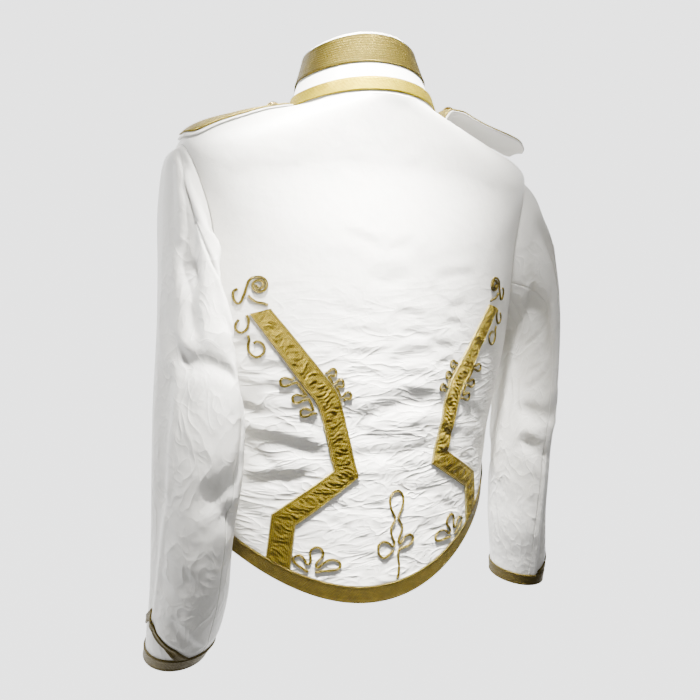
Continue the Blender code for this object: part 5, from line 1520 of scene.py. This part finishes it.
# In the middle of the back a stem rises from the hem lace, with a petal on each side and two
# loops above them, all one length of braid.
CENTRE_MOTIF = (
    (-0.0012, -0.5000), (-0.0022, -0.4900), (-0.0008, -0.4810), (-0.0006, -0.4752),
    (-0.0028, -0.4712), (-0.0078, -0.4702), (-0.0136, -0.4692), (-0.0188, -0.4662),
    (-0.0203, -0.4620), (-0.0176, -0.4582), (-0.0122, -0.4572), (-0.0080, -0.4592),
    (-0.0056, -0.4630), (-0.0030, -0.4648), (-0.0010, -0.4628), (-0.0016, -0.4585),
    (-0.0034, -0.4545), (-0.0053, -0.4495), (-0.0051, -0.4442), (-0.0024, -0.4398),
    (-0.0001, -0.4360), (-0.0018, -0.4315), (-0.0050, -0.4250), (-0.0070, -0.4175),
    (-0.0060, -0.4108), (-0.0024, -0.4066), (0.0020, -0.4056), (0.0066, -0.4070),
    (0.0098, -0.4115), (0.0100, -0.4180), (0.0078, -0.4255), (0.0050, -0.4315),
    (0.0035, -0.4360), (0.0058, -0.4404), (0.0084, -0.4455), (0.0082, -0.4515),
    (0.0062, -0.4572), (0.0044, -0.4614), (0.0042, -0.4650), (0.0066, -0.4662),
    (0.0094, -0.4634), (0.0134, -0.4604), (0.0184, -0.4592), (0.0226, -0.4612),
    (0.0239, -0.4660), (0.0222, -0.4724), (0.0182, -0.4770), (0.0136, -0.4768),
    (0.0090, -0.4738), (0.0050, -0.4708),
)
CENTRE_FOOT_X = 0.0004
centre_foot = (CENTRE_FOOT_X, hem_lace_top(np.array([CENTRE_FOOT_X]))[0] + LACE_CLEARANCE)
braid("centre_motif_braid", "centre_motif", smooth((centre_foot,) + CENTRE_MOTIF, 5))

# Shoulder straps
# Stiff double straps of satin with gold lace on top. They are sewn in beside the collar
# with a small gilt button, puff up there and end round over the sleeve's head.
STRAP_COLUMNS = ("x", "y", "half_breadth", "z", "curve")
STRAP_ROWS = {
    "left": (
        (0.0935, 0.008, 0.0170, -0.0060, 0.0060),
        (0.1030, 0.010, 0.0200, -0.0080, 0.0070),
        (0.1150, 0.012, 0.0220, -0.0120, 0.0080),
        (0.1290, 0.014, 0.0230, -0.0180, 0.0090),
        (0.1430, 0.016, 0.0235, -0.0250, 0.0090),
        (0.1570, 0.017, 0.0235, -0.0320, 0.0090),
        (0.1700, 0.018, 0.0235, -0.0390, 0.0090),
        (0.1820, 0.019, 0.0235, -0.0450, 0.0090),
        (0.1930, 0.020, 0.0225, -0.0520, 0.0080),
        (0.2010, 0.020, 0.0190, -0.0580, 0.0060),
        (0.2060, 0.020, 0.0110, -0.0630, 0.0030),
    ),
    "right": (
        (0.0925, 0.008, 0.0170, -0.0020, 0.0030),
        (0.0965, 0.009, 0.0185, 0.0070, 0.0035),
        (0.1030, 0.010, 0.0205, 0.0150, 0.0035),
        (0.1140, 0.012, 0.0220, 0.0140, 0.0040),
        (0.1270, 0.014, 0.0230, 0.0085, 0.0045),
        (0.1400, 0.016, 0.0235, 0.0030, 0.0045),
        (0.1540, 0.017, 0.0235, -0.0010, 0.0045),
        (0.1680, 0.018, 0.0235, -0.0045, 0.0045),
        (0.1810, 0.019, 0.0235, -0.0080, 0.0045),
        (0.1930, 0.020, 0.0225, -0.0125, 0.0040),
        (0.2020, 0.020, 0.0190, -0.0185, 0.0030),
        (0.2070, 0.020, 0.0110, -0.0240, 0.0015),
    ),
}
STRAP_THICKNESS, STRAP_LACE_INSET = 0.0020, 0.0022
STRAP_SATIN = white_satin("white satin of the straps", 0.0008)
STRAP_GOLD = gold_lace(
    "gold of the strap lace", (0.42, 0.33, 0.06, 1), (0.10, 0.07, 0.015, 1), 0.0036, 0.0009, 0.8,
    0.00035, 0.6,
)


def shoulder_height(x, y):
    """Height of the cloth's outer face on the shoulder at each x and y."""
    turn = np.where(x > 0, 0.35, np.pi - 0.35)
    level = np.interp(np.abs(x), [0.084, 0.150, 0.208], [7.0, 6.0, 5.0])
    turn, level = turn_and_level(x, y, [0, 1], turn, level, 4.0, 7.0)
    return body(turn, level)[..., 2]


def strap_under(side, step, across):
    """The strap's under side: the table's middle line and half breadth by the step, less the
    curve times the square of the place across; where that is in the cloth, on the cloth."""
    place = {
        name: along(column(STRAP_ROWS[side], STRAP_COLUMNS, name), step) for name in STRAP_COLUMNS
    }
    x = place["x"] * MIRROR[side] + 0 * across
    y = place["y"] + place["half_breadth"] * across
    z = place["z"] - place["curve"] * across**2
    cloth = shoulder_height(x, y) + LAID_GAP
    blend = 0.0015
    over = np.clip((cloth - z) / blend + 0.5, 0, 1)
    raised = z + (cloth - z) * over + blend * over * (1 - over) / 2
    return np.stack([x, y, raised], axis=-1)


straps, strap_trims = {}, {}
for side, mirror in SIDES:
    rows = len(STRAP_ROWS[side])
    step = near_ends(np.linspace(0, rows - 1, 91), (0.001, 0.003, 0.007))[:, None]
    across = near_ends(np.linspace(-1, 1, 31), (0.004, 0.012, 0.028))[None, :]
    step, across = np.broadcast_arrays(step, across)
    under = strap_under(side, step, across)
    away = normals(lambda a, b: strap_under(side, a, b), step, across) * mirror
    sunk = rolled_edges(*step.shape)[..., None]
    straps[side] = new_wall(
        f"{side}_strap_cloth",
        under + away * (STRAP_THICKNESS - sunk), under + away * sunk, STRAP_SATIN,
    )
    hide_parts(f"{side}_strap")

    share = np.linspace(0.30, rows - 1.45, 130)[:, None]
    half = along(column(STRAP_ROWS[side], STRAP_COLUMNS, "half_breadth"), share)
    ends = np.clip((rows - 1.35 - share) / 1.3, 0, 1)
    width = 2 * (half - STRAP_LACE_INSET) * (0.45 + 0.55 * np.sqrt(1 - (1 - ends) ** 2))
    unit_across = (across_lace(0.042, 12) / 0.042)[None, :]
    lace_at = unit_across * width
    step, across = np.broadcast_arrays(share, lace_at / half)
    base = strap_under(side, step, across)
    away = normals(lambda a, b: strap_under(side, a, b), step, across) * mirror
    run = lengths(base, 0)
    profile = lace_profile(unit_across * 0.042, 0.042, 0.00030) + 0 * run
    lace = lace_strip(
        f"{side}_strap_lace_gold", f"{side}_strap_lace", base, away, lace_at, run, profile,
        STRAP_GOLD, lift=STRAP_THICKNESS,
    )
    strap_trims[side] = [lace]

# Gilt buttons
# Domed buttons pressed from gilt brass, each on a short shank: seven down the front and a
# small one on each strap.
BUTTON_LEVELS = (0.45, 1.30, 2.15, 3.00, 3.85, 4.70, 5.75)
BUTTON_RADIUS, BUTTON_HEIGHT = 0.0075, 0.0056
STRAP_BUTTON_X, STRAP_BUTTON_RADIUS, STRAP_BUTTON_HEIGHT = 0.1100, 0.0062, 0.0042
BUTTON_STAND_OFF = 0.0004
# The button's profile: share of its radius and of its height.
BUTTON_PROFILE = (
    (0.0, 0.0), (0.30, 0.0), (0.30, 0.20), (0.55, 0.24), (0.90, 0.26), (0.985, 0.29), (1.0, 0.36),
    (0.985, 0.43), (0.93, 0.46), (0.90, 0.45), (0.87, 0.47), (0.84, 0.55), (0.76, 0.68),
    (0.64, 0.80), (0.50, 0.89), (0.34, 0.955), (0.17, 0.99), (0.0, 1.0),
)


def gilt(name):
    """Worn gilt: a smooth metal whose roughness varies with a fine noise."""
    finish = bpy.data.materials.new(name)
    finish.use_nodes = True
    tree = finish.node_tree
    shader = tree.nodes["Principled BSDF"]
    where = tree.nodes.new("ShaderNodeTexCoord").outputs["Object"]
    worn = noise(tree, where, 700, 4.0, 0.6)
    tree.links.new(
        mixed(tree, worn, (0.72, 0.49, 0.15, 1), (0.95, 0.74, 0.32, 1)), shader.inputs["Base Color"]
    )
    tree.links.new(
        maths(tree, "ADD", maths(tree, "MULTIPLY", worn, 0.22), 0.14), shader.inputs["Roughness"]
    )
    shader.inputs["Metallic"].default_value = 1.0
    return finish


BUTTON_GILT = gilt("worn gilt of the buttons")


def button(name, centre, away, radius, height):
    """The profile turned about the button's axis; the poles are single points."""
    side = unit(np.cross(away, np.array([0.3, 0.2, 1.0])))
    other = np.cross(away, side)
    profile = np.array(BUTTON_PROFILE) * [radius, height]
    angle = np.linspace(0, 2 * np.pi, 49)[:-1]
    circle = side[None] * np.cos(angle)[:, None] + other[None] * np.sin(angle)[:, None]
    rings = centre + circle[None] * profile[1:-1, 0][:, None, None]
    rings = rings + away * profile[1:-1, 1][:, None, None]
    points = np.concatenate([rings.reshape(-1, 3), [centre], [centre + away * height]])
    index = np.arange(rings.shape[0] * 48).reshape(-1, 48)
    after = np.roll(index, -1, axis=1)
    quads = np.stack([index[:-1], after[:-1], after[1:], index[1:]], axis=-1).reshape(-1, 4)
    foot = np.stack([0 * index[0] + len(points) - 2, after[0], index[0]], axis=-1)
    crown = np.stack([0 * index[0] + len(points) - 1, index[-1], after[-1]], axis=-1)
    mesh = bpy.data.meshes.new(name)
    mesh.from_pydata(points.tolist(), [], quads.tolist() + foot.tolist() + crown.tolist())
    corner = points[quads]
    away = np.cross(corner[:, 1] - centre, corner[:, 2] - centre)
    if np.einsum("ij,ij->i", corner[:, 0] - centre, away).sum() < 0:
        mesh.flip_normals()
    mesh.materials.append(BUTTON_GILT)
    mesh.shade_smooth()
    mesh.set_sharp_from_angle(angle=math.radians(50))
    made = bpy.data.objects.new(name, mesh)
    bpy.context.scene.collection.objects.link(made)
    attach(made, "root")
    return made


for number, level in enumerate(BUTTON_LEVELS, start=1):
    turn, level = np.array(-np.pi / 2), np.array(level)
    away = normals(body, turn, level)
    centre = body(turn, level) + away * (LAP_LIFT + BUTTON_STAND_OFF)
    made = button(f"front_button_{number}_gilt", centre, away, BUTTON_RADIUS, BUTTON_HEIGHT)
    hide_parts(f"front_button_{number}")

for side, mirror in SIDES:
    x_rows = column(STRAP_ROWS[side], STRAP_COLUMNS, "x")
    step = np.array(np.interp(STRAP_BUTTON_X, x_rows, np.arange(len(x_rows))))
    across = np.array(-0.03)
    away = normals(lambda a, b: strap_under(side, a, b), step, across) * mirror
    rise = STRAP_THICKNESS + 2 * LAID_GAP + LACE + BUTTON_STAND_OFF
    centre = strap_under(side, step, across) + away * rise
    made = button(
        f"{side}_strap_button_gilt", centre, away, STRAP_BUTTON_RADIUS, STRAP_BUTTON_HEIGHT
    )
    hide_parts(f"{side}_strap_button")
    strap_trims[side].append(made)

# The cloth's cut
# Every cloth piece is a sheet. Its flat box is the wall's half girth and length, and its area
# is half the wall's surface.
for side, mirror in SIDES:
    top, under = sleeve_cloth[side]
